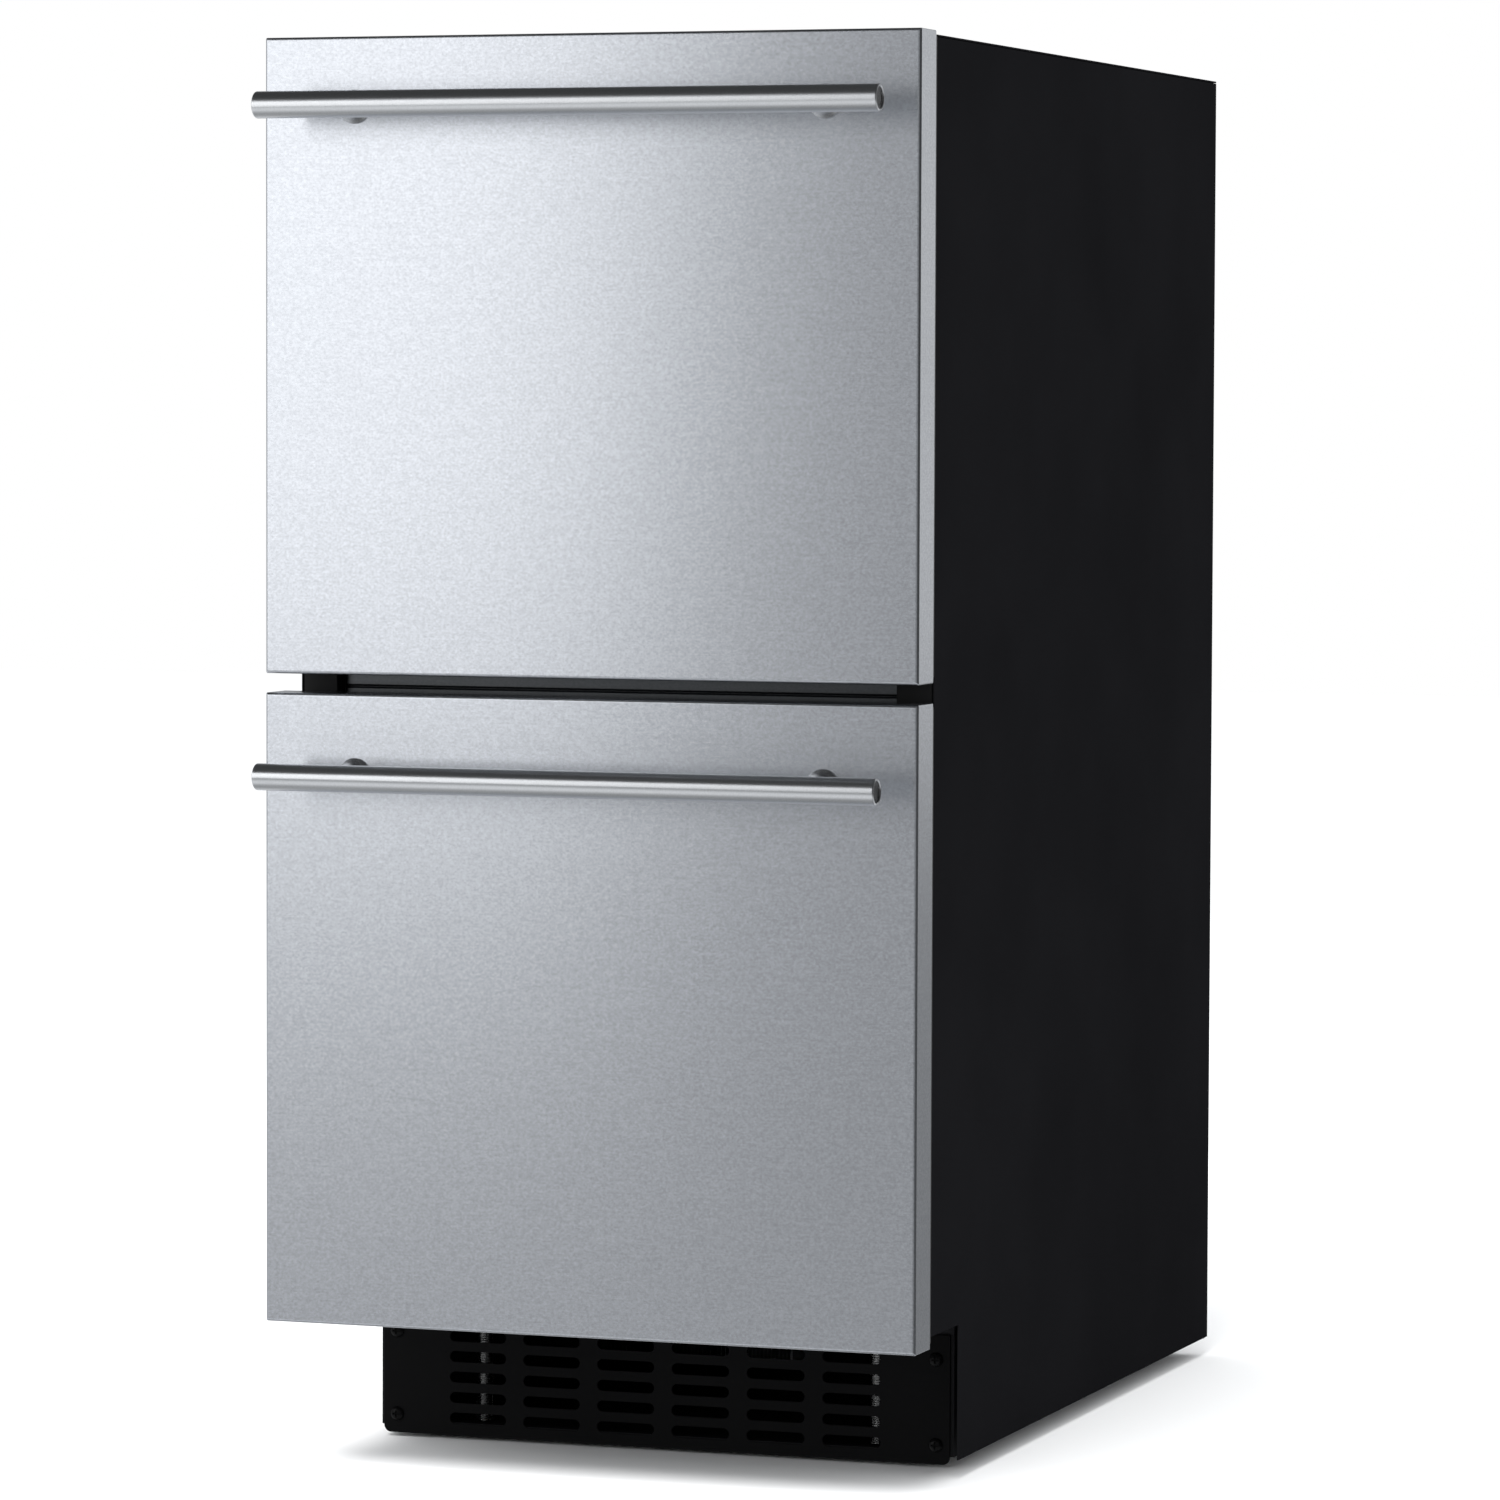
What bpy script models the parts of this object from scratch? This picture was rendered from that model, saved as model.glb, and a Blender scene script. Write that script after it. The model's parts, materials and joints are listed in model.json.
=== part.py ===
"""Two-drawer undercounter refrigerator, built as an assembly of separate parts.

Metres, +Z up.  The floor is z = 0 and x = 0 is the middle of the width.  Depths below are
measured backwards from the stainless face of the drawers; FACE_Y puts that face in the
frame whose origin is the bottom centre of the whole object.
"""

import math

import bmesh
import bpy
from mathutils import Matrix, Vector

# ------------------------------------------------------------------ driving dimensions
WIDTH = 0.375
BODY_DEPTH = 0.595  # stainless face to back panel
FRONT_TOP_Z = 0.782  # top edge of the upper drawer front
FRONT_HEIGHT = 0.3457
FRONT_GAP = 0.0105
FRONT_RETURN = 0.026  # depth of the folded stainless sides
SKIN = 0.001

HANDLE_R = 0.0073
HANDLE_LENGTH = 0.354
HANDLE_STANDOFF = 0.036  # face to bar axis
HANDLE_DROP_UPPER = 0.038  # below the top edge of each front
HANDLE_DROP_LOWER = 0.044
POST_X = 0.1345
POST_BASE_R = 0.0092
CAP_LENGTH = 0.0022

CABINET_WIDTH = 0.3668  # the drawer fronts overhang it a little at both sides
CABINET_FRONT = 0.0406  # depth of the cabinet's front edge
MULLION_RECESS = 0.0497  # depth of the channel along the middle of the mullion
LINER_FRONT = 0.0520
CABINET_TOP_Z = 0.7805
PANEL = 0.001
PANEL_BOTTOM_Z = 0.0105
TOE_DEPTH_LEFT = 0.170  # the left side panel is notched back to here
TOE_DEPTH_RIGHT = 0.090  # the right one reaches further forward
TOE_HEIGHT = 0.0848
CAVITY_X = 0.1605  # half width inside the liner
CAVITY_BOTTOM_Z = 0.110
CAVITY_TOP_Z = 0.748
CAVITY_BACK = 0.567
STEP_FRONT = 0.359  # the lower part of the cavity ends here
STEP_TOP_Z = 0.356
MACHINE_FRONT = 0.385  # compressor bay behind the lower drawer
MACHINE_TOP_Z = 0.330
MULLION_Z = (0.400, 0.462)

KICK_DEPTH = 0.1225
KICK_HALF = 0.168
KICK_Z = (0.002, 0.0737)
SLOT_COLUMNS = 6
SLOT_ROWS = 5
SLOT_PITCH_X = 0.0444
SLOT_PITCH_Z = 0.01165
SLOT_FIRST_Z = 0.0120
SLOT_LENGTH = 0.034
SLOT_HEIGHT = 0.0062
KICK_SCREWS = [(-0.160, 0.0127), (0.160, 0.0127), (-0.160, 0.0600), (0.160, 0.0600)]

BASE_HALF = 0.170
BASE_FRONT = 0.1243
FOOT_X = 0.118
FOOT_FRONT = 0.150
FOOT_BACK = 0.560
FOOT_R = 0.014

BIN_X = 0.1470
BIN_FRONT = 0.0376
UPPER_BIN = {"back": 0.505, "z": (0.468, 0.690), "rail_z": 0.545}
LOWER_BIN = {"back": 0.345, "z": (0.118, 0.380), "rail_z": 0.215}

GAP = 0.0003  # left between pieces that touch
FACE_Y = -(BODY_DEPTH - HANDLE_STANDOFF - HANDLE_R) / 2

# ------------------------------------------------------------------ clean scene
for old in list(bpy.data.objects):
    bpy.data.objects.remove(old, do_unlink=True)


# ------------------------------------------------------------------ helpers
def material(name, colour, roughness, metallic=0.0):
    found = bpy.data.materials.get(name)
    if found:
        return found
    new = bpy.data.materials.new(name)
    new.use_nodes = True
    shader = new.node_tree.nodes["Principled BSDF"]
    shader.inputs["Base Color"].default_value = (*colour, 1)
    shader.inputs["Roughness"].default_value = roughness
    shader.inputs["Metallic"].default_value = metallic
    new.diffuse_color = (*colour, 1)
    return new


def finish(name, bm, look, origin=None, parent=None, smooth=False):
    """Turns a bmesh in (x, depth, z) into an object whose own origin is at `origin`."""
    bmesh.ops.recalc_face_normals(bm, faces=bm.faces)
    mesh = bpy.data.meshes.new(name)
    bm.to_mesh(mesh)
    bm.free()
    obj = bpy.data.objects.new(name, mesh)
    bpy.context.scene.collection.objects.link(obj)
    place = Vector(origin) if origin else Vector((0, 0, 0))
    mesh.transform(Matrix.Translation(-place))
    world = place + Vector((0, FACE_Y, 0))
    if parent:
        obj.parent = parent
        obj.location = world - parent.location
    else:
        obj.location = world
    if look:
        mesh.materials.append(look)
    if smooth:
        mesh.shade_smooth()
        mesh.set_sharp_from_angle(angle=math.radians(35))
    return obj


def boxes(adds, cuts=()):
    """One closed skin round the union of the boxes `adds` less the boxes `cuts`.

    Each box is ((x0, x1), (y0, y1), (z0, z1)).  Space is divided at every box face, so
    neighbouring cells always share whole faces and the skin has no loose edges.
    """
    planes = [
        sorted({round(v, 7) for box in list(adds) + list(cuts) for v in box[axis]})
        for axis in range(3)
    ]
    counts = [len(p) - 1 for p in planes]

    def middle(axis, i):
        return (planes[axis][i] + planes[axis][i + 1]) / 2

    def inside(box, i, j, k):
        at = (middle(0, i), middle(1, j), middle(2, k))
        return all(box[a][0] < at[a] < box[a][1] for a in range(3))

    filled = set()
    for i in range(counts[0]):
        for j in range(counts[1]):
            for k in range(counts[2]):
                if any(inside(b, i, j, k) for b in adds) and not any(
                    inside(b, i, j, k) for b in cuts
                ):
                    filled.add((i, j, k))
    bm = bmesh.new()
    corners = {}

    def corner(i, j, k):
        if (i, j, k) not in corners:
            corners[i, j, k] = bm.verts.new((planes[0][i], planes[1][j], planes[2][k]))
        return corners[i, j, k]

    for i, j, k in sorted(filled):
        sides = [
            ((i - 1, j, k), [(0, 0, 0), (0, 0, 1), (0, 1, 1), (0, 1, 0)]),
            ((i + 1, j, k), [(1, 0, 0), (1, 1, 0), (1, 1, 1), (1, 0, 1)]),
            ((i, j - 1, k), [(0, 0, 0), (1, 0, 0), (1, 0, 1), (0, 0, 1)]),
            ((i, j + 1, k), [(0, 1, 0), (0, 1, 1), (1, 1, 1), (1, 1, 0)]),
            ((i, j, k - 1), [(0, 0, 0), (0, 1, 0), (1, 1, 0), (1, 0, 0)]),
            ((i, j, k + 1), [(0, 0, 1), (1, 0, 1), (1, 1, 1), (0, 1, 1)]),
        ]
        for neighbour, quad in sides:
            if neighbour not in filled:
                bm.faces.new([corner(i + a, j + b, k + c) for a, b, c in quad])
    return bm


def extruded(outline, axis, low, high):
    """Prism: the closed 2-D outline swept along `axis` (0 = x, 1 = depth, 2 = z)."""
    bm = bmesh.new()

    def point(p, h):
        at = list(p)
        at.insert(axis, h)
        return bm.verts.new(at)

    near = [point(p, low) for p in outline]
    face = bm.faces.new(near)
    moved = bmesh.ops.extrude_face_region(bm, geom=[face])
    shift = Vector((0, 0, 0))
    shift[axis] = high - low
    verts = [v for v in moved["geom"] if isinstance(v, bmesh.types.BMVert)]
    bmesh.ops.translate(bm, vec=shift, verts=verts)
    return bm


def turned(profile, centre, axis, steps):
    """Solid of revolution: profile of (radius, height) pairs about `axis` through `centre`.

    Heights are absolute along the axis.  A pair with radius 0 closes on the axis; a
    profile that never reaches it is joined end to end and makes a ring.
    """
    bm = bmesh.new()
    others = [a for a in range(3) if a != axis]
    rings = []
    for radius, height in profile:
        ring = []
        for s in range(steps if radius > 0 else 1):
            turn = 2 * math.pi * s / steps
            at = [0.0, 0.0, 0.0]
            at[axis] = height
            at[others[0]] = centre[0] + radius * math.cos(turn)
            at[others[1]] = centre[1] + radius * math.sin(turn)
            ring.append(bm.verts.new(at))
        rings.append(ring)
    pairs = list(zip(rings, rings[1:]))
    if profile[0][0] > 0:
        pairs.append((rings[-1], rings[0]))
    for a, b in pairs:
        for s in range(steps):
            t = (s + 1) % steps
            quad = [a[s % len(a)], a[t % len(a)], b[t % len(b)], b[s % len(b)]]
            unique = list(dict.fromkeys(quad))
            if len(unique) > 2:
                bm.faces.new(unique)
    return bm


def merged(*parts):
    """Puts several bmeshes into one, for cutters and for joined helpers."""
    total = bmesh.new()
    for part in parts:
        mesh = bpy.data.meshes.new("piece")
        part.to_mesh(mesh)
        part.free()
        total.from_mesh(mesh)
        bpy.data.meshes.remove(mesh)
    return total


def modify(obj, helper_bm, operation, name):
    """Boolean with a hidden helper solid."""
    helper = finish(name, helper_bm, None)
    helper.hide_render = True
    helper.display_type = "WIRE"
    change = obj.modifiers.new(name, "BOOLEAN")
    change.operation = operation
    change.object = helper
    return obj


def empty(name, at):
    e = bpy.data.objects.new(name, None)
    bpy.context.scene.collection.objects.link(e)
    e.location = Vector(at) + Vector((0, FACE_Y, 0))
    e.empty_display_size = 0.03
    return e


def rounded(x0, x1, z0, z1, radius, steps, corners=(True, True, True, True)):
    """Outline of a rectangle with chosen round corners, anticlockwise from bottom left."""
    points = []
    data = [
        (x0, z0, 180, corners[0]),
        (x1, z0, 270, corners[1]),
        (x1, z1, 0, corners[2]),
        (x0, z1, 90, corners[3]),
    ]
    for x, z, start, is_round in data:
        if not is_round:
            points.append((x, z))
            continue
        cx = x + radius if x == x0 else x - radius
        cz = z + radius if z == z0 else z - radius
        for s in range(steps + 1):
            turn = math.radians(start + 90 * s / steps)
            points.append((cx + radius * math.cos(turn), cz + radius * math.sin(turn)))
    return points


# ------------------------------------------------------------------ materials
STEEL = ("stainless", (0.62, 0.63, 0.64), 0.32, 1.0)
BRIGHT = ("handle_steel", (0.66, 0.66, 0.66), 0.26, 1.0)
BLACK = ("black_enamel", (0.012, 0.012, 0.013), 0.55, 0.0)
KICK = ("kick_black", (0.008, 0.008, 0.008), 0.5, 0.0)
DARK = ("black_plastic", (0.02, 0.02, 0.02), 0.6, 0.0)
RUBBER = ("gasket_rubber", (0.03, 0.03, 0.032), 0.8, 0.0)
FOAM = ("foam", (0.75, 0.66, 0.42), 0.9, 0.0)
LINER = ("liner_white", (0.72, 0.73, 0.74), 0.4, 0.0)
GREY = ("mullion_grey", (0.35, 0.36, 0.37), 0.4, 0.9)
ZINC = ("zinc", (0.55, 0.56, 0.57), 0.35, 1.0)
FIN = ("aluminium_fin", (0.7, 0.71, 0.72), 0.4, 1.0)


def own(node, base):
    return material("mat_" + node, *base[1:])


# ------------------------------------------------------------------ cabinet shell
HALF = WIDTH / 2
CAB_HALF = CABINET_WIDTH / 2
side_bottom = PANEL_BOTTOM_Z
side_top = CABINET_TOP_Z - PANEL - GAP
for node, x, toe in (
    ("side_panel_left", (-CAB_HALF, -CAB_HALF + PANEL), TOE_DEPTH_LEFT),
    ("side_panel_right", (CAB_HALF - PANEL, CAB_HALF), TOE_DEPTH_RIGHT),
):
    outline = [
        (CABINET_FRONT, TOE_HEIGHT),
        (toe, TOE_HEIGHT),
        (toe, side_bottom),
        (BODY_DEPTH, side_bottom),
        (BODY_DEPTH, side_top),
        (CABINET_FRONT, side_top),
    ]
    finish(node, extruded(outline, 0, *x), own(node, BLACK))

finish(
    "top_panel",
    boxes(
        [((-CAB_HALF, CAB_HALF), (CABINET_FRONT, BODY_DEPTH), (CABINET_TOP_Z - PANEL, CABINET_TOP_Z))]
    ),
    own("top_panel", BLACK),
)
INNER_HALF = CAB_HALF - PANEL - GAP
REAR = (BODY_DEPTH - 0.0032, BODY_DEPTH - 0.0022)
finish(
    "back_panel",
    boxes([((-INNER_HALF, INNER_HALF), REAR, (MACHINE_TOP_Z + 0.005, side_top - GAP))]),
    own("back_panel", ZINC),
)
slots = [
    ((x - 0.030, x + 0.030), (REAR[0] - 0.01, REAR[1] + 0.01), (z - 0.0035, z + 0.0035))
    for x in (-0.10, 0.0)
    for z in [0.05 + 0.022 * i for i in range(11)]
]
window = ((0.1185, 0.1515), (REAR[0] - 0.01, REAR[1] + 0.01), (0.2135, 0.2415))
finish(
    "rear_grille",
    boxes(
        [((-INNER_HALF, INNER_HALF), REAR, (0.0095, MACHINE_TOP_Z + 0.005 - GAP))],
        slots + [window],
    ),
    own("rear_grille", BLACK),
)

# ------------------------------------------------------------------ insulated tub and liner
WALL = 0.001
TUB_X = CAVITY_X + WALL + GAP
TUB = (LINER_FRONT, REAR[0] - GAP)
finish(
    "insulation_tub",
    boxes(
        [((-INNER_HALF + GAP, INNER_HALF - GAP), TUB, (TOE_HEIGHT + 0.0007, side_top - GAP))],
        [
            (
                (-0.2, 0.2),
                (MACHINE_FRONT, TUB[1] + 0.01),
                (0.0, MACHINE_TOP_Z),
            ),
            (
                (-TUB_X, TUB_X),
                (0.0, CAVITY_BACK + WALL + GAP),
                (STEP_TOP_Z - WALL - GAP, CAVITY_TOP_Z + WALL + GAP),
            ),
            (
                (-TUB_X, TUB_X),
                (0.0, STEP_FRONT + WALL + GAP),
                (CAVITY_BOTTOM_Z - WALL - GAP, CAVITY_TOP_Z + WALL + GAP),
            ),
        ],
    ),
    own("insulation_tub", FOAM),
)
finish(
    "inner_liner",
    boxes(
        [
            (
                (-CAVITY_X - WALL, CAVITY_X + WALL),
                (TUB[0], CAVITY_BACK + WALL),
                (STEP_TOP_Z - WALL, CAVITY_TOP_Z + WALL),
            ),
            (
                (-CAVITY_X - WALL, CAVITY_X + WALL),
                (TUB[0], STEP_FRONT + WALL),
                (CAVITY_BOTTOM_Z - WALL, CAVITY_TOP_Z + WALL),
            ),
        ],
        [
            ((-CAVITY_X, CAVITY_X), (0.0, CAVITY_BACK), (STEP_TOP_Z, CAVITY_TOP_Z)),
            ((-CAVITY_X, CAVITY_X), (0.0, STEP_FRONT), (CAVITY_BOTTOM_Z, CAVITY_TOP_Z)),
        ],
    ),
    own("inner_liner", LINER),
)
FRAME = (CABINET_FRONT + 0.0002, LINER_FRONT - GAP)
FRAME_OPENING = 0.1620
finish(
    "front_frame",
    boxes(
        [((-INNER_HALF, INNER_HALF), FRAME, (TOE_HEIGHT, side_top - GAP))],
        [((-FRAME_OPENING, FRAME_OPENING), (0.0, 0.1), (CAVITY_BOTTOM_Z, CAVITY_TOP_Z))],
    ),
    own("front_frame", BLACK),
)
# Centre mullion: two sealing lands with a recessed channel between them, open to the back.
# A shallow crease runs along the channel.
z0, z1 = MULLION_Z
sheet = 0.0012
low, high = z0 + 0.0215, z1 - 0.0215  # edges of the recessed channel
crease = z0 + 0.0278
y0, y1, y2 = FRAME[0], MULLION_RECESS, FRAME[0] + 0.036
finish(
    "centre_mullion",
    extruded(
        [
            (y0, z0),
            (y2, z0),
            (y2, z0 + sheet),
            (y0 + sheet, z0 + sheet),
            (y0 + sheet, low - sheet),
            (y1 + sheet, low - sheet),
            (y1 + sheet, crease - 0.001),
            (y1 + sheet + 0.001, crease),
            (y1 + sheet, crease + 0.001),
            (y1 + sheet, high + sheet),
            (y0 + sheet, high + sheet),
            (y0 + sheet, z1 - sheet),
            (y2, z1 - sheet),
            (y2, z1),
            (y0, z1),
            (y0, high),
            (y1, high),
            (y1, crease + 0.001),
            (y1 + 0.001, crease),
            (y1, crease - 0.001),
            (y1, low),
            (y0, low),
        ],
        0,
        -CAVITY_X + GAP,
        CAVITY_X - GAP,
    ),
    own("centre_mullion", GREY),
)

# ------------------------------------------------------------------ base pan, kick plate, screws
pan_z = 0.0062
pan = finish(
    "base_pan",
    boxes(
        [
            ((-BASE_HALF, BASE_HALF), (BASE_FRONT, REAR[0] - 0.001), (pan_z, pan_z + 0.0012)),
            ((-BASE_HALF, -BASE_HALF + 0.0012), (BASE_FRONT, REAR[0] - 0.001), (pan_z, TOE_HEIGHT)),
            ((BASE_HALF - 0.0012, BASE_HALF), (BASE_FRONT, REAR[0] - 0.001), (pan_z, TOE_HEIGHT)),
            ((-BASE_HALF, -0.150), (BASE_FRONT, BASE_FRONT + 0.0012), (pan_z, TOE_HEIGHT)),
            ((0.150, BASE_HALF), (BASE_FRONT, BASE_FRONT + 0.0012), (pan_z, TOE_HEIGHT)),
            ((-BASE_HALF, BASE_HALF), (BASE_FRONT, BASE_FRONT + 0.0012), (pan_z, pan_z + 0.003)),
        ]
    ),
    own("base_pan", ZINC),
)
holes = [
    turned([(0, -0.01), (0.0056, -0.01), (0.0056, 0.03), (0, 0.03)], (x, y), 2, 12)
    for x in (-FOOT_X, FOOT_X)
    for y in (FOOT_FRONT, FOOT_BACK)
]
holes += [
    turned(
        [(0, 0.110), (0.0021, 0.110), (0.0021, 0.140), (0, 0.140)],
        (x, z),
        1,
        8,
    )
    for x, z in KICK_SCREWS
]
modify(pan, merged(*holes), "DIFFERENCE", "base_pan_holes")

KICK_T = 0.0015
kick = finish(
    "kick_plate",
    extruded(
        rounded(-KICK_HALF, KICK_HALF, *KICK_Z, 0.004, 4, (True, True, False, False)),
        1,
        KICK_DEPTH,
        KICK_DEPTH + KICK_T,
    ),
    own("kick_plate", KICK),
)
modify(
    kick,
    boxes(
        [
            (
                (-KICK_HALF + 0.005, KICK_HALF - 0.005),
                (KICK_DEPTH + 0.0005, KICK_DEPTH + 0.008),
                (KICK_Z[0] + 0.0002, KICK_Z[0] + 0.0014),
            )
        ]
    ),
    "UNION",
    "kick_plate_lip",
)
cutters = []
for column in range(SLOT_COLUMNS):
    x = (column - (SLOT_COLUMNS - 1) / 2) * SLOT_PITCH_X
    for row in range(SLOT_ROWS):
        z = SLOT_FIRST_Z + row * SLOT_PITCH_Z
        r = SLOT_HEIGHT / 2
        cutters.append(
            extruded(
                [
                    (
                        x + side * (SLOT_LENGTH / 2 - r) + r * math.cos(turn),
                        z + r * math.sin(turn),
                    )
                    for side, start in ((1, -90), (-1, 90))
                    for turn in [math.radians(start + 45 * s) for s in range(5)]
                ],
                1,
                KICK_DEPTH - 0.005,
                KICK_DEPTH + 0.0066,
            )
        )
cutters += [
    turned([(0, 0.115), (0.0021, 0.115), (0.0021, 0.130), (0, 0.130)], (x, z), 1, 8)
    for x, z in KICK_SCREWS
]
modify(kick, merged(*cutters), "DIFFERENCE", "kick_plate_slots")

for number, (x, z) in enumerate(KICK_SCREWS, 1):
    node = f"kick_screw_{number}"
    finish(
        node,
        turned(
            [
                (0, KICK_DEPTH - 0.0024),
                (0.0022, KICK_DEPTH - 0.0021),
                (0.0036, KICK_DEPTH - 0.0012),
                (0.0040, KICK_DEPTH - GAP),
                (0.0016, KICK_DEPTH - GAP),
                (0.0016, KICK_DEPTH + 0.010),
                (0, KICK_DEPTH + 0.0115),
            ],
            (x, z),
            1,
            16,
        ),
        own(node, KICK),
        smooth=True,
    )

# ------------------------------------------------------------------ levelling feet
for side, x in (("left", -FOOT_X), ("right", FOOT_X)):
    for end, y in (("front", FOOT_FRONT), ("rear", FOOT_BACK)):
        node = f"foot_{end}_{side}"
        finish(
            node,
            turned(
                [
                    (0, 0.0),
                    (FOOT_R - 0.001, 0.0),
                    (FOOT_R, 0.001),
                    (FOOT_R - 0.002, 0.0045),
                    (0.006, 0.0052),
                    (0.0050, 0.0056),
                    (0.0050, 0.0640),
                    (0.0042, 0.0650),
                    (0, 0.0650),
                ],
                (x, y),
                2,
                16,
            ),
            own(node, ZINC),
            origin=(x, y, 0),
            smooth=True,
        )

# ------------------------------------------------------------------ compressor bay
cx, cy = 0.095, 0.490
compressor = finish(
    "compressor",
    turned(
        [
            (0, 0.020),
            (0.050, 0.020),
            (0.060, 0.028),
            (0.062, 0.090),
            (0.0645, 0.091),
            (0.0645, 0.097),
            (0.062, 0.098),
            (0.060, 0.150),
            (0.048, 0.176),
            (0.026, 0.188),
            (0, 0.191),
        ],
        (cx, cy),
        2,
        24,
    ),
    own("compressor", KICK),
    smooth=True,
)
modify(
    compressor,
    boxes(
        [
            ((cx - 0.068, cx + 0.068), (cy - 0.055, cy - 0.040), (0.0170, 0.0230)),
            ((cx - 0.068, cx + 0.068), (cy + 0.040, cy + 0.055), (0.0170, 0.0230)),
            ((cx - 0.020, cx + 0.020), (cy - 0.055, cy + 0.055), (0.0170, 0.0230)),
            ((cx - 0.064, cx - 0.052), (cy - 0.052, cy - 0.043), (0.0077, 0.0230)),
            ((cx + 0.052, cx + 0.064), (cy - 0.052, cy - 0.043), (0.0077, 0.0230)),
            ((cx - 0.064, cx - 0.052), (cy + 0.043, cy + 0.052), (0.0077, 0.0230)),
            ((cx + 0.052, cx + 0.064), (cy + 0.043, cy + 0.052), (0.0077, 0.0230)),
        ]
    ),
    "UNION",
    "compressor_feet",
)

CON_X = (-0.160, -0.010)
CON_Y = (0.3925, 0.4170)
CON_Z = (0.0077, 0.168)
fins = 11
pitch = (CON_X[1] - CON_X[0] - 0.0016) / (fins - 1)
finish(
    "condenser_coil",
    boxes(
        [
            ((CON_X[0] + pitch * i, CON_X[0] + pitch * i + 0.0016), CON_Y, CON_Z)
            for i in range(fins)
        ]
        + [
            (CON_X, (CON_Y[0] + 0.007, CON_Y[0] + 0.015), (z, z + 0.008))
            for z in (0.030, 0.084, 0.138)
        ]
    ),
    own("condenser_coil", FIN),
)

FAN_C = (-0.085, 0.088)
shroud = finish(
    "fan_shroud",
    boxes([(CON_X, (0.4180, 0.4200), (0.0077, 0.168))]),
    own("fan_shroud", DARK),
)
modify(
    shroud,
    turned(
        [(0.0600, 0.4190), (0.0660, 0.4190), (0.0660, 0.4420), (0.0600, 0.4420)],
        FAN_C,
        1,
        24,
    ),
    "UNION",
    "fan_shroud_ring",
)
modify(
    shroud,
    turned([(0, 0.410), (0.0635, 0.410), (0.0635, 0.4500), (0, 0.4500)], FAN_C, 1, 24),
    "DIFFERENCE",
    "fan_shroud_hole",
)
modify(
    shroud,
    boxes(
        [
            ((FAN_C[0] - 0.0650, FAN_C[0] + 0.0650), (0.4398, 0.4414), (FAN_C[1] - 0.004, FAN_C[1] + 0.004)),
            ((FAN_C[0] - 0.004, FAN_C[0] + 0.004), (0.4398, 0.4414), (FAN_C[1] - 0.0650, FAN_C[1] + 0.0650)),
            ((FAN_C[0] - 0.020, FAN_C[0] + 0.020), (0.4395, 0.4700), (FAN_C[1] - 0.020, FAN_C[1] + 0.020)),
        ]
    ),
    "UNION",
    "fan_shroud_motor",
)


def fan(node, centre, depth, hub_r, tip_r, hub_length, blades, look):
    """Axial fan about the depth axis; its origin is on that axis."""
    hub = turned(
        [
            (0, depth),
            (hub_r * 0.8, depth),
            (hub_r, depth + 0.002),
            (hub_r, depth + hub_length),
            (0, depth + hub_length),
        ],
        centre,
        1,
        20,
    )
    obj = finish(node, hub, own(node, look), origin=(centre[0], depth, centre[1]), smooth=True)
    sheets = []
    for i in range(blades):
        blade = boxes([((-tip_r * 0.34, tip_r * 0.34), (-0.0008, 0.0008), (hub_r * 0.75, tip_r))])
        bmesh.ops.rotate(
            blade, verts=blade.verts, cent=(0, 0, 0), matrix=Matrix.Rotation(math.radians(17), 3, "Z")
        )
        bmesh.ops.rotate(
            blade,
            verts=blade.verts,
            cent=(0, 0, 0),
            matrix=Matrix.Rotation(2 * math.pi * i / blades, 3, "Y"),
        )
        bmesh.ops.translate(
            blade, verts=blade.verts, vec=(centre[0], depth + hub_length / 2, centre[1])
        )
        sheets.append(blade)
    modify(obj, merged(*sheets), "UNION", node + "_blades")
    return obj


fan("condenser_fan", FAN_C, 0.4235, 0.018, 0.056, 0.0135, 5, DARK)

finish(
    "power_inlet",
    boxes(
        [((0.120, 0.150), (0.5700, REAR[0] - GAP), (0.215, 0.240))],
        [((0.124, 0.146), (0.5800, 0.6000), (0.219, 0.236))],
    ),
    own("power_inlet", DARK),
)

# ------------------------------------------------------------------ evaporator
EV_C = (0.0, 0.620)
cover = finish(
    "evaporator_cover",
    boxes(
        [((-0.150, 0.150), (0.5150, CAVITY_BACK - GAP), (0.480, 0.742))],
        [((-0.1488, 0.1488), (0.5162, 0.600), (0.4812, 0.7408))]
        + [((-0.130 + 0.03 * i, -0.110 + 0.03 * i), (0.500, 0.5165), (0.492, 0.498)) for i in range(9)],
    ),
    own("evaporator_cover", LINER),
)
modify(
    cover,
    turned([(0, 0.505), (0.048, 0.505), (0.048, 0.530), (0, 0.530)], EV_C, 1, 24),
    "DIFFERENCE",
    "evaporator_cover_hole",
)
modify(
    cover,
    boxes(
        [
            ((-0.0500, 0.0500), (0.5152, 0.5161), (EV_C[1] - 0.003, EV_C[1] + 0.003)),
            ((-0.003, 0.003), (0.5152, 0.5161), (EV_C[1] - 0.0500, EV_C[1] + 0.0500)),
            ((-0.013, 0.013), (0.5152, 0.5185), (EV_C[1] - 0.013, EV_C[1] + 0.013)),
        ]
    ),
    "UNION",
    "evaporator_cover_motor",
)
fan("evaporator_fan", EV_C, 0.5193, 0.013, 0.044, 0.0120, 5, DARK)
EVX = (-0.120, 0.120)
EVY = (0.5370, 0.5640)
EVZ = (0.510, 0.730)
fins = 13
pitch = (EVX[1] - EVX[0] - 0.0016) / (fins - 1)
finish(
    "evaporator_coil",
    boxes(
        [((EVX[0] + pitch * i, EVX[0] + pitch * i + 0.0016), EVY, EVZ) for i in range(fins)]
        + [
            (EVX, (EVY[0] + 0.009, EVY[0] + 0.017), (z, z + 0.008))
            for z in (0.535, 0.616, 0.697)
        ]
    ),
    own("evaporator_coil", FIN),
)
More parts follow.
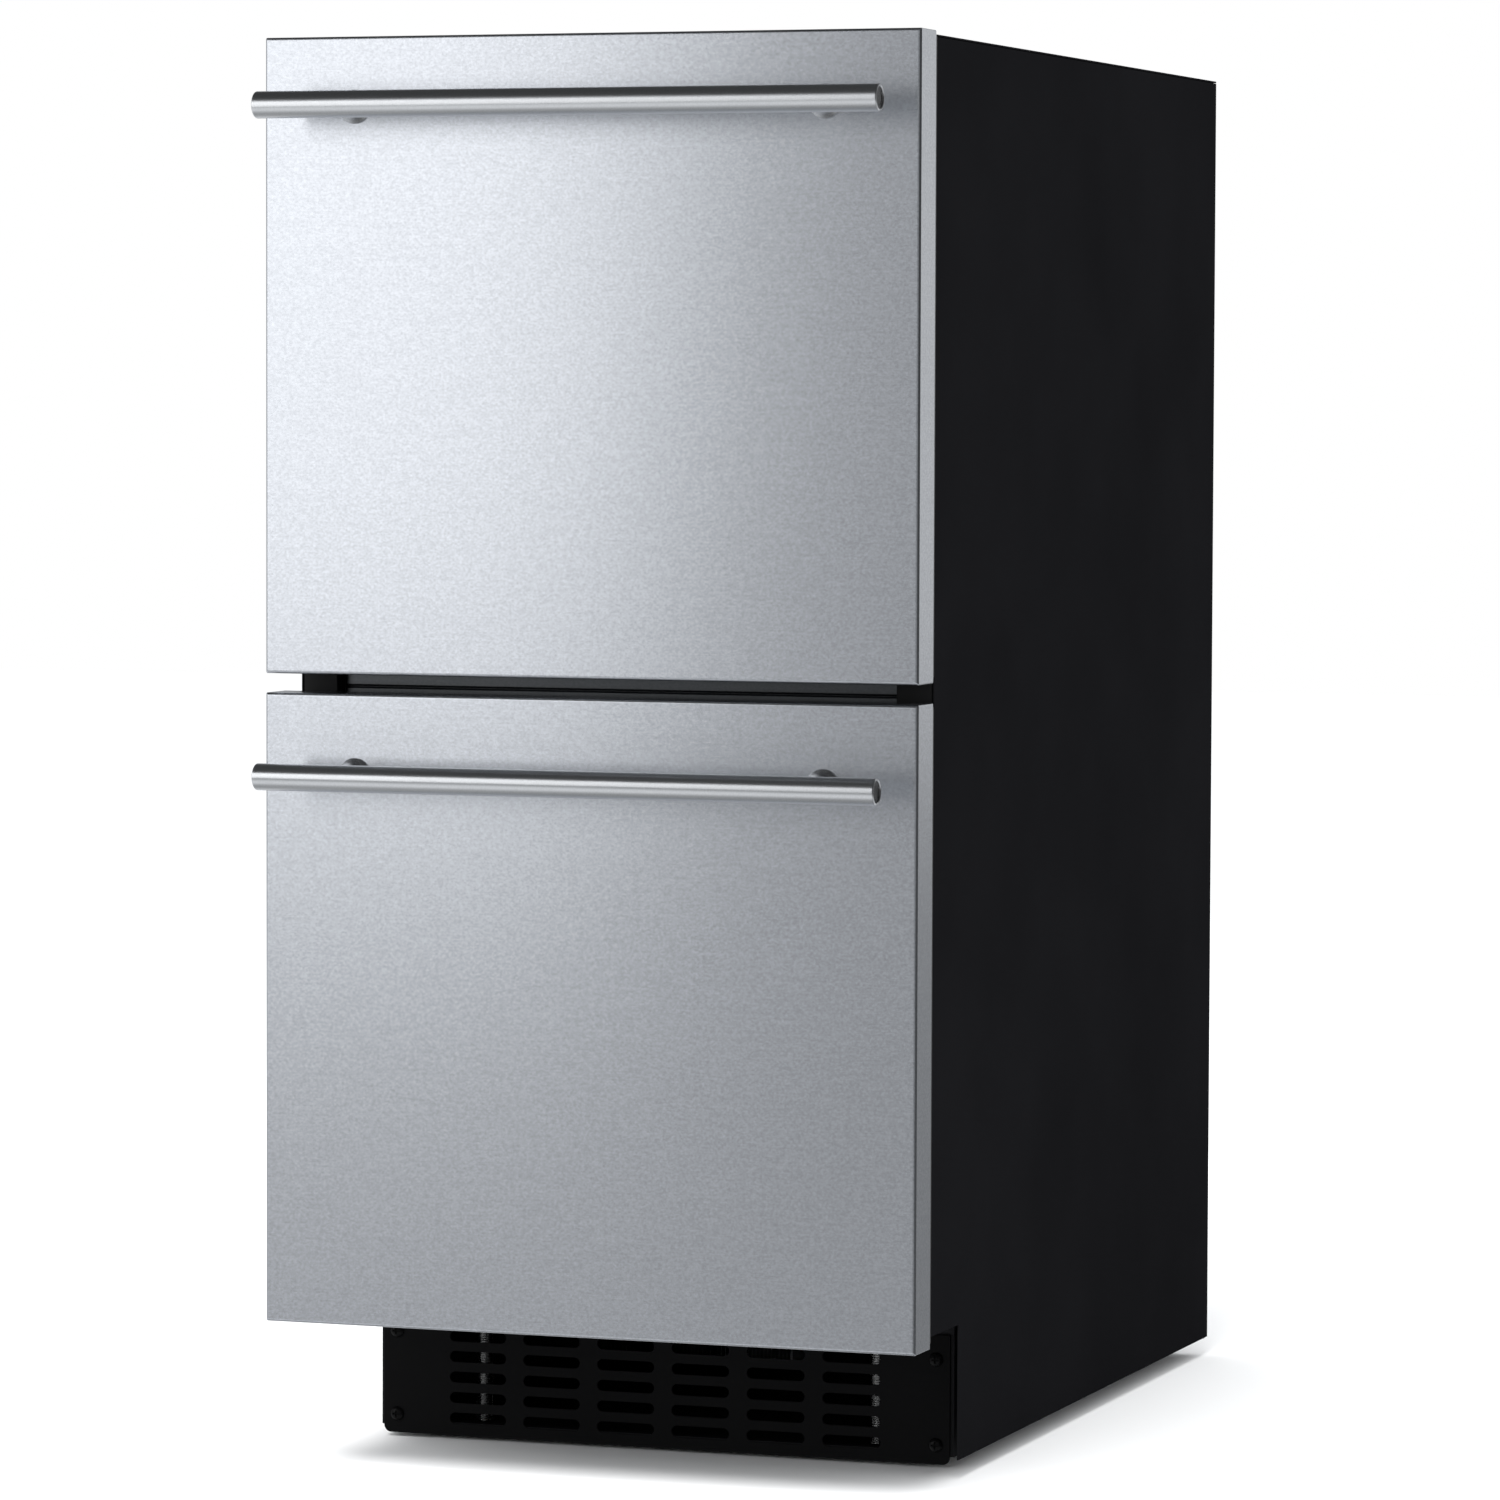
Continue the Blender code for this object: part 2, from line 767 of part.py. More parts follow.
finish(
    "control_box",
    boxes(
        [
            ((-0.062, 0.062), (0.0560, 0.1160), (0.7270, CAVITY_TOP_Z - GAP)),
            ((-0.050, 0.050), (0.0620, 0.1100), (0.7230, 0.7275)),
        ]
    ),
    own("control_box", DARK),
)


# ------------------------------------------------------------------ telescopic slides
def channel(wall_t, web, lips, half, lip_t, side, z, opens_in=True):
    """C-shaped section at one side of the cavity; t counts inwards from the liner."""
    t0, t1 = web
    near, far = lips
    if opens_in:
        outline = [
            (t0, half), (far, half), (far, half - lip_t), (t1, half - lip_t),
            (t1, -half + lip_t), (far, -half + lip_t), (far, -half), (t0, -half),
        ]
    else:
        outline = [
            (t1, half), (near, half), (near, half - lip_t), (t0, half - lip_t),
            (t0, -half + lip_t), (near, -half + lip_t), (near, -half), (t1, -half),
        ]
    return [(side * (wall_t - t), z + h) for t, h in outline]


for drawer, bin_, top in (("upper", UPPER_BIN, True), ("lower", LOWER_BIN, False)):
    for label, side in (("left", -1), ("right", 1)):
        z = bin_["rail_z"]
        back = bin_["back"]
        node = f"slide_outer_{drawer}_{label}"
        outline = channel(CAVITY_X, (GAP, 0.0015), (GAP, 0.0085), 0.0225, 0.0014, side, z)
        finish(node, extruded(outline, 1, 0.060, back + 0.008), own(node, ZINC))
        node = f"slide_middle_{drawer}_{label}"
        outline = channel(CAVITY_X, (0.0030, 0.0042), (0.0030, 0.0110), 0.0203, 0.0014, side, z)
        finish(node, extruded(outline, 1, 0.062, back + 0.004), own(node, ZINC))


# ------------------------------------------------------------------ drawers
def drawer(name, bottom_z, handle_z, bin_):
    top_z = bottom_z + FRONT_HEIGHT
    parent = empty(name + "_drawer", (0, 0, bottom_z + FRONT_HEIGHT / 2))

    # Stainless skin: a tray folded from one sheet, open at the back.
    node = name + "_front_skin"
    skin = boxes([((-HALF, HALF), (0, FRONT_RETURN), (bottom_z, top_z))])
    open_back = [f for f in skin.faces if all(abs(v.co.y - FRONT_RETURN) < 1e-6 for v in f.verts)]
    bmesh.ops.delete(skin, geom=open_back, context="FACES_ONLY")
    long_edges = [
        e
        for e in skin.edges
        if all(abs(v.co.y) < 1e-6 for v in e.verts)
    ]
    bmesh.ops.bevel(skin, geom=long_edges, offset=0.0018, segments=3, profile=0.5, affect="EDGES")
    obj = finish(node, skin, own(node, STEEL), parent=parent)
    shell = obj.modifiers.new("sheet", "SOLIDIFY")
    shell.thickness = SKIN
    shell.offset = -1
    shell.use_even_offset = True
    obj.data.shade_smooth()
    obj.data.set_sharp_from_angle(angle=math.radians(40))

    node = name + "_front_core"
    inset = SKIN + 0.0006
    finish(
        node,
        boxes(
            [
                (
                    (-HALF + inset, HALF - inset),
                    (inset, FRONT_RETURN - 0.0002),
                    (bottom_z + inset, top_z - inset),
                )
            ]
        ),
        own(node, FOAM),
        parent=parent,
    )
    node = name + "_front_liner"
    liner_y = FRONT_RETURN + GAP
    finish(
        node,
        boxes(
            [
                (
                    (-HALF + 0.0012, HALF - 0.0012),
                    (liner_y, liner_y + 0.0065),
                    (bottom_z + 0.0012, top_z - 0.0012),
                ),
                (
                    (-0.156, 0.156),
                    (liner_y, BIN_FRONT - GAP),
                    (bottom_z + 0.034, top_z - 0.036),
                ),
            ]
        ),
        own(node, DARK),
        parent=parent,
    )
    node = name + "_gasket"
    outer, inner = 0.0085, 0.0225
    finish(
        node,
        boxes(
            [
                (
                    (-HALF + outer, HALF - outer),
                    (liner_y + 0.0065 + GAP, CABINET_FRONT + 0.0002 - GAP),
                    (bottom_z + outer, top_z - outer),
                )
            ],
            [
                (
                    (-HALF + inner, HALF - inner),
                    (0.0, 0.1),
                    (bottom_z + inner, top_z - inner),
                )
            ],
        ),
        own(node, RUBBER),
        parent=parent,
    )

    # Handle: tube with two capped ends on two posts.
    tube_half = HANDLE_LENGTH / 2 - CAP_LENGTH - GAP
    node = name + "_handle_bar"
    centre = (-HANDLE_STANDOFF, handle_z)
    bore = HANDLE_R - 0.0015
    finish(
        node,
        turned(
            [
                (HANDLE_R, -tube_half),
                (HANDLE_R, tube_half),
                (bore, tube_half),
                (bore, -tube_half),
            ],
            centre,
            0,
            32,
        ),
        own(node, BRIGHT),
        parent=parent,
        smooth=True,
    )
    for label, side in (("left", -1), ("right", 1)):
        node = f"{name}_handle_cap_{label}"
        finish(
            node,
            turned(
                [
                    (0, side * (tube_half + GAP)),
                    (HANDLE_R, side * (tube_half + GAP)),
                    (HANDLE_R, side * (HANDLE_LENGTH / 2 - 0.0006)),
                    (HANDLE_R - 0.0006, side * HANDLE_LENGTH / 2),
                    (0, side * HANDLE_LENGTH / 2),
                ],
                centre,
                0,
                32,
            ),
            own(node, BRIGHT),
            parent=parent,
            smooth=True,
        )
        node = f"{name}_handle_post_{label}"
        back_of_bar = -HANDLE_STANDOFF + HANDLE_R
        finish(
            node,
            turned(
                [
                    (0, -GAP),
                    (POST_BASE_R, -GAP),
                    (POST_BASE_R - 0.0001, -0.0012),
                    (0.0074, -0.0034),
                    (0.0060, -0.0066),
                    (0.0052, -0.0110),
                    (0.0050, back_of_bar + 0.0065),
                    (0.0056, back_of_bar + GAP + 0.0010),
                    (0.0056, back_of_bar + GAP),
                    (0, back_of_bar + GAP),
                ],
                (side * POST_X, handle_z),
                1,
                20,
            ),
            own(node, BRIGHT),
            parent=parent,
            smooth=True,
        )

        # Inner slide member, fixed to the side of the bin.
        node = f"slide_inner_{name}_{label}"
        outline = channel(
            CAVITY_X, (0.0120, 0.0132), (0.0060, 0.0132), 0.0172, 0.0012, side, bin_["rail_z"], False
        )
        finish(
            node,
            extruded(outline, 1, BIN_FRONT + 0.004, bin_["back"]),
            own(node, ZINC),
            parent=parent,
        )

    # Sheet-metal bin with a rim turned out along its sides and back.
    node = name + "_bin"
    x, y0, y1 = BIN_X, BIN_FRONT, bin_["back"]
    b0, b1 = bin_["z"]
    t = 0.0012
    finish(
        node,
        boxes(
            [
                ((-x, x), (y0, y1), (b0, b1)),
                ((-x - 0.006, x + 0.006), (y0 + 0.016, y1 + 0.005), (b1 - t, b1)),
                ((-x, x), (y0, y0 + 0.002), (b0, b1)),
            ],
            [((-x + t, x - t), (y0 + t, y1 - t), (b0 + t, b1 + 0.01))],
        ),
        own(node, STEEL),
        parent=parent,
    )


upper_bottom = FRONT_TOP_Z - FRONT_HEIGHT
lower_bottom = upper_bottom - FRONT_GAP - FRONT_HEIGHT
drawer("upper", upper_bottom, FRONT_TOP_Z - HANDLE_DROP_UPPER, UPPER_BIN)
drawer("lower", lower_bottom, lower_bottom + FRONT_HEIGHT - HANDLE_DROP_LOWER, LOWER_BIN)
bpy.context.view_layer.update()
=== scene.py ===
"""Looks of the two-drawer undercounter refrigerator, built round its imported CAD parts.

Metres, +Z up, the front faces -Y.  Every position comes from the boxes of the CAD nodes.
"""

import json
import math

import bmesh
import bpy
from mathutils import Matrix, Vector


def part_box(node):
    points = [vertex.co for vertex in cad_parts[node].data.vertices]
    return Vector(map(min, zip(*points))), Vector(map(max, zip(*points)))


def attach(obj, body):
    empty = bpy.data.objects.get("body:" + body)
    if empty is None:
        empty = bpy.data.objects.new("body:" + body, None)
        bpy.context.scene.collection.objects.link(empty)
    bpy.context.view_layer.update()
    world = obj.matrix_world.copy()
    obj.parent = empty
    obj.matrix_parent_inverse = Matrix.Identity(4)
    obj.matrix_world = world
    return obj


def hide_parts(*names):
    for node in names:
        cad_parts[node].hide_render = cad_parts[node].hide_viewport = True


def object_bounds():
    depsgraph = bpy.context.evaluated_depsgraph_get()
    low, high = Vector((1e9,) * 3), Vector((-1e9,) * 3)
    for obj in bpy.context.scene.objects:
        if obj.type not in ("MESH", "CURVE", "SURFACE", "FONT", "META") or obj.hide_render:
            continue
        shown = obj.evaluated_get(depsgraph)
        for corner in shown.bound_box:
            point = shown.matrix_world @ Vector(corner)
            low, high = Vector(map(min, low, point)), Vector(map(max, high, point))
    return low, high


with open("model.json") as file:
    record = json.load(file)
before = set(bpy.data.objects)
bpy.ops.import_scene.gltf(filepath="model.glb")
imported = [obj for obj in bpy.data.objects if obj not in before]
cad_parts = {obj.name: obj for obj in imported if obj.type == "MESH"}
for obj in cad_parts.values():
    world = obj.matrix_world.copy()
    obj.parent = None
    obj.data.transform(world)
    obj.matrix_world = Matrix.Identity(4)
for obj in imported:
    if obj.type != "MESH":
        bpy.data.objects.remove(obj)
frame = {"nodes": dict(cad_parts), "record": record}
CAD_LOW, CAD_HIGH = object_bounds()
NODES = frame["nodes"]
HOME = {
    node: body
    for body, members in frame["record"]["behaviour"]["bodies"].items()
    for node in members
}
TAU = 2 * math.pi


# =============================================================== mesh helpers
def own(name, bm, look, body=None, slot=None, replaces=(), angle=35, flat=False, weighted=False):
    """Turns a bmesh in the row frame into a piece that rides on a body."""
    bmesh.ops.recalc_face_normals(bm, faces=bm.faces)
    mesh = bpy.data.meshes.new(name)
    bm.to_mesh(mesh)
    bm.free()
    piece = bpy.data.objects.new(name, mesh)
    bpy.context.scene.collection.objects.link(piece)
    mesh.materials.append(look)
    if not flat:
        mesh.shade_smooth()
        mesh.set_sharp_from_angle(angle=math.radians(angle))
    if weighted:
        even = piece.modifiers.new("even_normals", "WEIGHTED_NORMAL")
        even.keep_sharp = True
        even.weight = 100
    if replaces:
        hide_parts(*replaces)
        body = body or HOME[replaces[0]]
        slot = slot or replaces[0]
    if body:
        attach(piece, body)
    return piece


def solidify(piece, thickness, offset=-1.0):
    sheet = piece.modifiers.new("sheet", "SOLIDIFY")
    sheet.thickness = thickness
    sheet.offset = offset
    sheet.use_even_offset = True
    move_last(piece, "even_normals")
    return sheet


def soften(piece, width, segments=2, angle=40):
    edge = piece.modifiers.new("edge", "BEVEL")
    edge.width = width
    edge.segments = segments
    edge.limit_method = "ANGLE"
    edge.angle_limit = math.radians(angle)
    edge.harden_normals = False
    move_last(piece, "even_normals")
    return edge


def move_last(piece, name):
    if piece.modifiers.get(name):
        piece.modifiers.move(piece.modifiers.find(name), len(piece.modifiers) - 1)


def baked(piece):
    """The evaluated mesh of a piece becomes its own mesh, with no modifiers left."""
    graph = bpy.context.evaluated_depsgraph_get()
    graph.update()
    made = bpy.data.meshes.new_from_object(piece.evaluated_get(graph))
    looks = list(piece.data.materials)
    piece.modifiers.clear()
    piece.data = made
    made.materials.clear()
    for look in looks:
        made.materials.append(look)
    return piece


def carved(bm, cutters, operation="DIFFERENCE"):
    """bm with the solids in `cutters` removed, as a new bmesh."""
    def temporary(source):
        bmesh.ops.recalc_face_normals(source, faces=source.faces)
        mesh = bpy.data.meshes.new("temporary")
        source.to_mesh(mesh)
        source.free()
        obj = bpy.data.objects.new("temporary", mesh)
        bpy.context.scene.collection.objects.link(obj)
        return obj

    body = temporary(bm)
    tool = temporary(cutters)
    change = body.modifiers.new("cut", "BOOLEAN")
    change.operation = operation
    change.object = tool
    change.solver = "EXACT"
    graph = bpy.context.evaluated_depsgraph_get()
    graph.update()
    mesh = bpy.data.meshes.new_from_object(body.evaluated_get(graph))
    out = bmesh.new()
    out.from_mesh(mesh)
    for obj in (body, tool):
        data = obj.data
        bpy.data.objects.remove(obj, do_unlink=True)
        bpy.data.meshes.remove(data)
    bpy.data.meshes.remove(mesh)
    return out


def joined(*parts):
    total = bmesh.new()
    for part in parts:
        mesh = bpy.data.meshes.new("part")
        part.to_mesh(mesh)
        part.free()
        total.from_mesh(mesh)
        bpy.data.meshes.remove(mesh)
    return total


def block(x, y, z, radius=0.0, segments=3):
    """Box between the pairs x, y and z, with rounded edges."""
    bm = bmesh.new()
    bmesh.ops.create_cube(bm, size=1.0)
    size = (x[1] - x[0], y[1] - y[0], z[1] - z[0])
    middle = ((x[0] + x[1]) / 2, (y[0] + y[1]) / 2, (z[0] + z[1]) / 2)
    bmesh.ops.scale(bm, vec=size, verts=bm.verts)
    bmesh.ops.translate(bm, vec=middle, verts=bm.verts)
    if radius:
        bmesh.ops.bevel(
            bm, geom=list(bm.edges), offset=radius, segments=segments, profile=0.5, affect="EDGES"
        )
    return bm


def boxes(adds, cuts=()):
    """One closed skin round the union of the boxes `adds` less the boxes `cuts`."""
    planes = [
        sorted({round(v, 7) for item in list(adds) + list(cuts) for v in item[axis]})
        for axis in range(3)
    ]

    def middle(axis, i):
        return (planes[axis][i] + planes[axis][i + 1]) / 2

    def inside(item, cell):
        return all(item[a][0] < middle(a, cell[a]) < item[a][1] for a in range(3))

    filled = set()
    for i in range(len(planes[0]) - 1):
        for j in range(len(planes[1]) - 1):
            for k in range(len(planes[2]) - 1):
                cell = (i, j, k)
                if any(inside(b, cell) for b in adds) and not any(inside(b, cell) for b in cuts):
                    filled.add(cell)
    bm = bmesh.new()
    corners = {}

    def corner(i, j, k):
        if (i, j, k) not in corners:
            corners[i, j, k] = bm.verts.new((planes[0][i], planes[1][j], planes[2][k]))
        return corners[i, j, k]

    for i, j, k in sorted(filled):
        for neighbour, quad in (
            ((i - 1, j, k), [(0, 0, 0), (0, 0, 1), (0, 1, 1), (0, 1, 0)]),
            ((i + 1, j, k), [(1, 0, 0), (1, 1, 0), (1, 1, 1), (1, 0, 1)]),
            ((i, j - 1, k), [(0, 0, 0), (1, 0, 0), (1, 0, 1), (0, 0, 1)]),
            ((i, j + 1, k), [(0, 1, 0), (0, 1, 1), (1, 1, 1), (1, 1, 0)]),
            ((i, j, k - 1), [(0, 0, 0), (0, 1, 0), (1, 1, 0), (1, 0, 0)]),
            ((i, j, k + 1), [(0, 0, 1), (1, 0, 1), (1, 1, 1), (0, 1, 1)]),
        ):
            if neighbour not in filled:
                bm.faces.new([corner(i + a, j + b, k + c) for a, b, c in quad])
    bmesh.ops.dissolve_limit(bm, angle_limit=0.01, verts=bm.verts, edges=bm.edges)
    return bm


def lathe(profile, centre, axis, steps=48):
    """Solid of revolution: (radius, height) pairs about `axis` through `centre`."""
    bm = bmesh.new()
    others = [a for a in range(3) if a != axis]
    rings = []
    for radius, height in profile:
        ring = []
        for s in range(steps if radius > 0 else 1):
            at = [0.0, 0.0, 0.0]
            at[axis] = height
            at[others[0]] = centre[0] + radius * math.cos(TAU * s / steps)
            at[others[1]] = centre[1] + radius * math.sin(TAU * s / steps)
            ring.append(bm.verts.new(at))
        rings.append(ring)
    pairs = list(zip(rings, rings[1:]))
    if profile[0][0] > 0 and profile[-1][0] > 0:
        pairs.append((rings[-1], rings[0]))
    for a, b in pairs:
        for s in range(steps):
            t = (s + 1) % steps
            quad = list(
                dict.fromkeys([a[s % len(a)], a[t % len(a)], b[t % len(b)], b[s % len(b)]])
            )
            if len(quad) > 2:
                bm.faces.new(quad)
    return bm


def rounded_loop(x0, x1, y0, y1, radius, steps=6):
    """Points round a rectangle with round corners, anticlockwise."""
    points = []
    for cx, cy, start in (
        (x0 + radius, y0 + radius, 180),
        (x1 - radius, y0 + radius, 270),
        (x1 - radius, y1 - radius, 0),
        (x0 + radius, y1 - radius, 90),
    ):
        for s in range(steps + 1):
            turn = math.radians(start + 90 * s / steps)
            points.append((cx + radius * math.cos(turn), cy + radius * math.sin(turn)))
    return points


def bridged(loops, close=False, cap_first=False, cap_last=False):
    """Skin over loops that all have the same number of points."""
    bm = bmesh.new()
    rings = [[bm.verts.new(p) for p in loop] for loop in loops]
    pairs = list(zip(rings, rings[1:]))
    if close:
        pairs.append((rings[-1], rings[0]))
    for a, b in pairs:
        for s in range(len(a)):
            t = (s + 1) % len(a)
            bm.faces.new([a[s], a[t], b[t], b[s]])
    if cap_first:
        bm.faces.new(rings[0])
    if cap_last:
        bm.faces.new(rings[-1])
    return bm


def prism(outline, axis, low, high):
    """The closed 2-D outline swept along `axis`."""
    def at(p, h):
        point = list(p)
        point.insert(axis, h)
        return point

    return bridged(
        [[at(p, low) for p in outline], [at(p, high) for p in outline]],
        cap_first=True,
        cap_last=True,
    )


def pill(x, z, length, height, steps=8):
    """Outline of a slot with round ends."""
    r = height / 2
    return [
        (x + side * (length / 2 - r) + r * math.cos(turn), z + r * math.sin(turn))
        for side, start in ((1, -90), (-1, 90))
        for turn in [math.radians(start + 180 * s / steps) for s in range(steps + 1)]
    ]


def tube(points, radius, steps=12, smooth=0, caps=True):
    """Round tube along a path; `smooth` rounds each corner with that radius."""
    path = [Vector(p) for p in points]
    if smooth:
        soft = [path[0]]
        for a, b, c in zip(path, path[1:], path[2:]):
            back, ahead = (a - b), (c - b)
            reach = min(smooth, back.length * 0.49, ahead.length * 0.49)
            p, q = b + back.normalized() * reach, b + ahead.normalized() * reach
            for s in range(7):
                t = s / 6
                soft.append(p * (1 - t) ** 2 + b * 2 * t * (1 - t) + q * t * t)
        soft.append(path[-1])
        path = soft
    loops = []
    normal = None
    for i, at in enumerate(path):
        ahead = path[min(i + 1, len(path) - 1)] - path[max(i - 1, 0)]
        ahead.normalize()
        if normal is None:
            normal = ahead.orthogonal().normalized()
        else:
            normal = (normal - ahead * normal.dot(ahead)).normalized()
        other = ahead.cross(normal)
        loops.append(
            [
                at + radius * (normal * math.cos(TAU * s / steps) + other * math.sin(TAU * s / steps))
                for s in range(steps)
            ]
        )
    return bridged(loops, cap_first=caps, cap_last=caps)


def shifted(bm, vec):
    bmesh.ops.translate(bm, vec=vec, verts=bm.verts)
    return bm


# =============================================================== material helpers
class Look:
    """Small builder for a procedural Principled material."""

    def __init__(self, name, colour, roughness, metallic=0.0, specular=0.5, **values):
        self.material = bpy.data.materials.new(name)
        self.material.use_nodes = True
        self.tree = self.material.node_tree
        self.shader = self.tree.nodes["Principled BSDF"]
        self.colour = colour
        self.rough = roughness
        self.set("Base Color", (*colour, 1))
        self.set("Roughness", roughness)
        self.set("Metallic", metallic)
        self.set("Specular IOR Level", specular)
        for key, value in values.items():
            self.set(key.replace("_", " "), value)
        self.material.diffuse_color = (*colour, 1)
        self.coords = self.tree.nodes.new("ShaderNodeTexCoord")

    def set(self, socket, value):
        self.shader.inputs[socket].default_value = value

    def link(self, a, b):
        self.tree.links.new(a, b)

    def mapped(self, scale, rotation=(0, 0, 0)):
        node = self.tree.nodes.new("ShaderNodeMapping")
        node.inputs["Scale"].default_value = scale
        node.inputs["Rotation"].default_value = rotation
        self.link(self.coords.outputs["Object"], node.inputs["Vector"])
        return node.outputs["Vector"]

    def noise(self, scale, detail=2.0, stretch=(1, 1, 1), rough=0.5, distortion=0.0):
        node = self.tree.nodes.new("ShaderNodeTexNoise")
        node.inputs["Scale"].default_value = scale
        node.inputs["Detail"].default_value = detail
        node.inputs["Roughness"].default_value = rough
        node.inputs["Distortion"].default_value = distortion
        self.link(self.mapped(stretch), node.inputs["Vector"])
        return node.outputs["Fac"]

    def cells(self, scale, stretch=(1, 1, 1)):
        node = self.tree.nodes.new("ShaderNodeTexVoronoi")
        node.inputs["Scale"].default_value = scale
        self.link(self.mapped(stretch), node.inputs["Vector"])
        return node.outputs["Distance"]

    def ranged(self, value, low, high, from_low=0.3, from_high=0.7):
        node = self.tree.nodes.new("ShaderNodeMapRange")
        node.inputs["From Min"].default_value = from_low
        node.inputs["From Max"].default_value = from_high
        node.inputs["To Min"].default_value = low
        node.inputs["To Max"].default_value = high
        self.link(value, node.inputs["Value"])
        return node.outputs["Result"]

    def math(self, operation, a, b):
        node = self.tree.nodes.new("ShaderNodeMath")
        node.operation = operation
        for i, value in enumerate((a, b)):
            if isinstance(value, (int, float)):
                node.inputs[i].default_value = value
            else:
                self.link(value, node.inputs[i])
        return node.outputs["Value"]

    def tint(self, value, dark, light, low=0.3, high=0.7):
        node = self.tree.nodes.new("ShaderNodeValToRGB")
        node.color_ramp.elements[0].position = low
        node.color_ramp.elements[0].color = (*dark, 1)
        node.color_ramp.elements[1].position = high
        node.color_ramp.elements[1].color = (*light, 1)
        self.link(value, node.inputs["Fac"])
        self.link(node.outputs["Color"], self.shader.inputs["Base Color"])
        return node.outputs["Color"]

    def vary_colour(self, value, amount):
        dark = tuple(max(0.0, c * (1 - amount)) for c in self.colour)
        light = tuple(min(1.0, c * (1 + amount)) for c in self.colour)
        self.tint(value, dark, light)

    def vary_rough(self, value, amount, low=0.3, high=0.7):
        self.link(
            self.ranged(value, self.rough - amount, self.rough + amount, low, high),
            self.shader.inputs["Roughness"],
        )

    def bump(self, value, distance, strength=1.0):
        node = self.tree.nodes.new("ShaderNodeBump")
        node.inputs["Strength"].default_value = strength
        node.inputs["Distance"].default_value = distance
        self.link(value, node.inputs["Height"])
        previous = self.shader.inputs["Normal"]
        if previous.is_linked:
            self.link(previous.links[0].from_socket, node.inputs["Normal"])
        self.link(node.outputs["Normal"], previous)

    def tangent(self, axis, turn):
        node = self.tree.nodes.new("ShaderNodeTangent")
        node.direction_type = "RADIAL"
        node.axis = axis
        self.link(node.outputs["Tangent"], self.shader.inputs["Tangent"])
        self.set("Anisotropic Rotation", turn)


def brushed_steel(name, colour, roughness, anisotropic=0.55, grain=1.0):
    """Sheet steel with fine horizontal brushing."""
    look = Look(name, colour, roughness, metallic=1.0)
    look.set("Anisotropic", anisotropic)
    look.tangent("Z", 0.25)
    fine = look.noise(1.0, 2.0, (22.0, 22.0, 2300.0), 0.5)
    speck = look.noise(850.0, 2.0, (0.75, 1.0, 1.0), 0.7)
    cloud = look.noise(6.0, 2.0, (1.0, 1.0, 1.6), 0.5)
    mixed = look.math("ADD", look.math("MULTIPLY", fine, 0.22), look.math("MULTIPLY", speck, 0.78))
    look.vary_colour(mixed, 0.15 * grain)
    rough = look.math("ADD", look.math("MULTIPLY", fine, 0.7), look.math("MULTIPLY", cloud, 0.3))
    look.vary_rough(rough, 0.006 * grain)
    look.bump(speck, 0.0000015 * grain)
    return look.material


def turned_steel(name, colour, roughness, axis="X"):
    """Bar stock, brushed along its length."""
    look = Look(name, colour, roughness, metallic=1.0)
    look.set("Anisotropic", 0.7)
    look.tangent(axis, 0.25)
    stretch = {"X": (60.0, 1500.0, 1500.0), "Y": (1500.0, 60.0, 1500.0)}[axis]
    fine = look.noise(1.0, 2.0, stretch, 0.5)
    speck = look.noise(1000.0, 2.0)
    look.vary_colour(speck, 0.05)
    look.vary_rough(fine, 0.02)
    look.bump(fine, 0.0000012)
    return look.material


def enamel(name, colour, roughness=0.5, specular=0.2, peel=0.00002, size=900.0):
    """Powder-coated sheet: fine orange peel, a faint cloud of dust."""
    look = Look(name, colour, roughness, specular=specular)
    peel_noise = look.noise(size, 2.0)
    cloud = look.noise(9.0, 3.0)
    look.vary_colour(cloud, 0.10)
    look.vary_rough(cloud, 0.05)
    look.bump(peel_noise, peel)
    return look.material


def plastic(name, colour, roughness=0.45, specular=0.4, grain=0.00003, size=1500.0):
    """Moulded plastic with a fine spark-eroded grain."""
    look = Look(name, colour, roughness, specular=specular)
    grains = look.cells(size)
    cloud = look.noise(14.0, 3.0)
    look.vary_colour(cloud, 0.06)
    look.vary_rough(cloud, 0.04)
    look.bump(grains, grain)
    return look.material


def rubber(name, colour):
    look = Look(name, colour, 0.72, specular=0.3)
    bloom = look.noise(60.0, 4.0)
    look.vary_colour(bloom, 0.25)
    look.vary_rough(bloom, 0.08)
    look.bump(look.noise(2400.0, 1.0), 0.00002)
    return look.material


def foam(name, colour):
    look = Look(name, colour, 0.9, specular=0.1)
    bubbles = look.cells(420.0)
    look.vary_colour(look.noise(25.0, 4.0), 0.15)
    look.bump(bubbles, 0.0004)
    return look.material


def galvanised(name, colour, roughness=0.38):
    """Zinc-coated sheet: spangle in tone and roughness."""
    look = Look(name, colour, roughness, metallic=1.0)
    spangle = look.cells(95.0)
    fine = look.noise(700.0, 2.0)
    look.vary_colour(look.noise(55.0, 3.0, distortion=1.2), 0.12)
    look.vary_rough(spangle, 0.06, 0.0, 0.8)
    look.bump(fine, 0.000012)
    return look.material


def drawn_metal(name, colour, roughness=0.3, specular=0.5):
    """Copper tube, fin stock and fasteners: drawn surface with a little tarnish."""
    look = Look(name, colour, roughness, metallic=1.0, specular=specular)
    look.vary_colour(look.noise(120.0, 4.0, distortion=0.6), 0.14)
    look.vary_rough(look.noise(260.0, 3.0), 0.08)
    look.bump(look.noise(1800.0, 1.0), 0.000010)
    return look.material


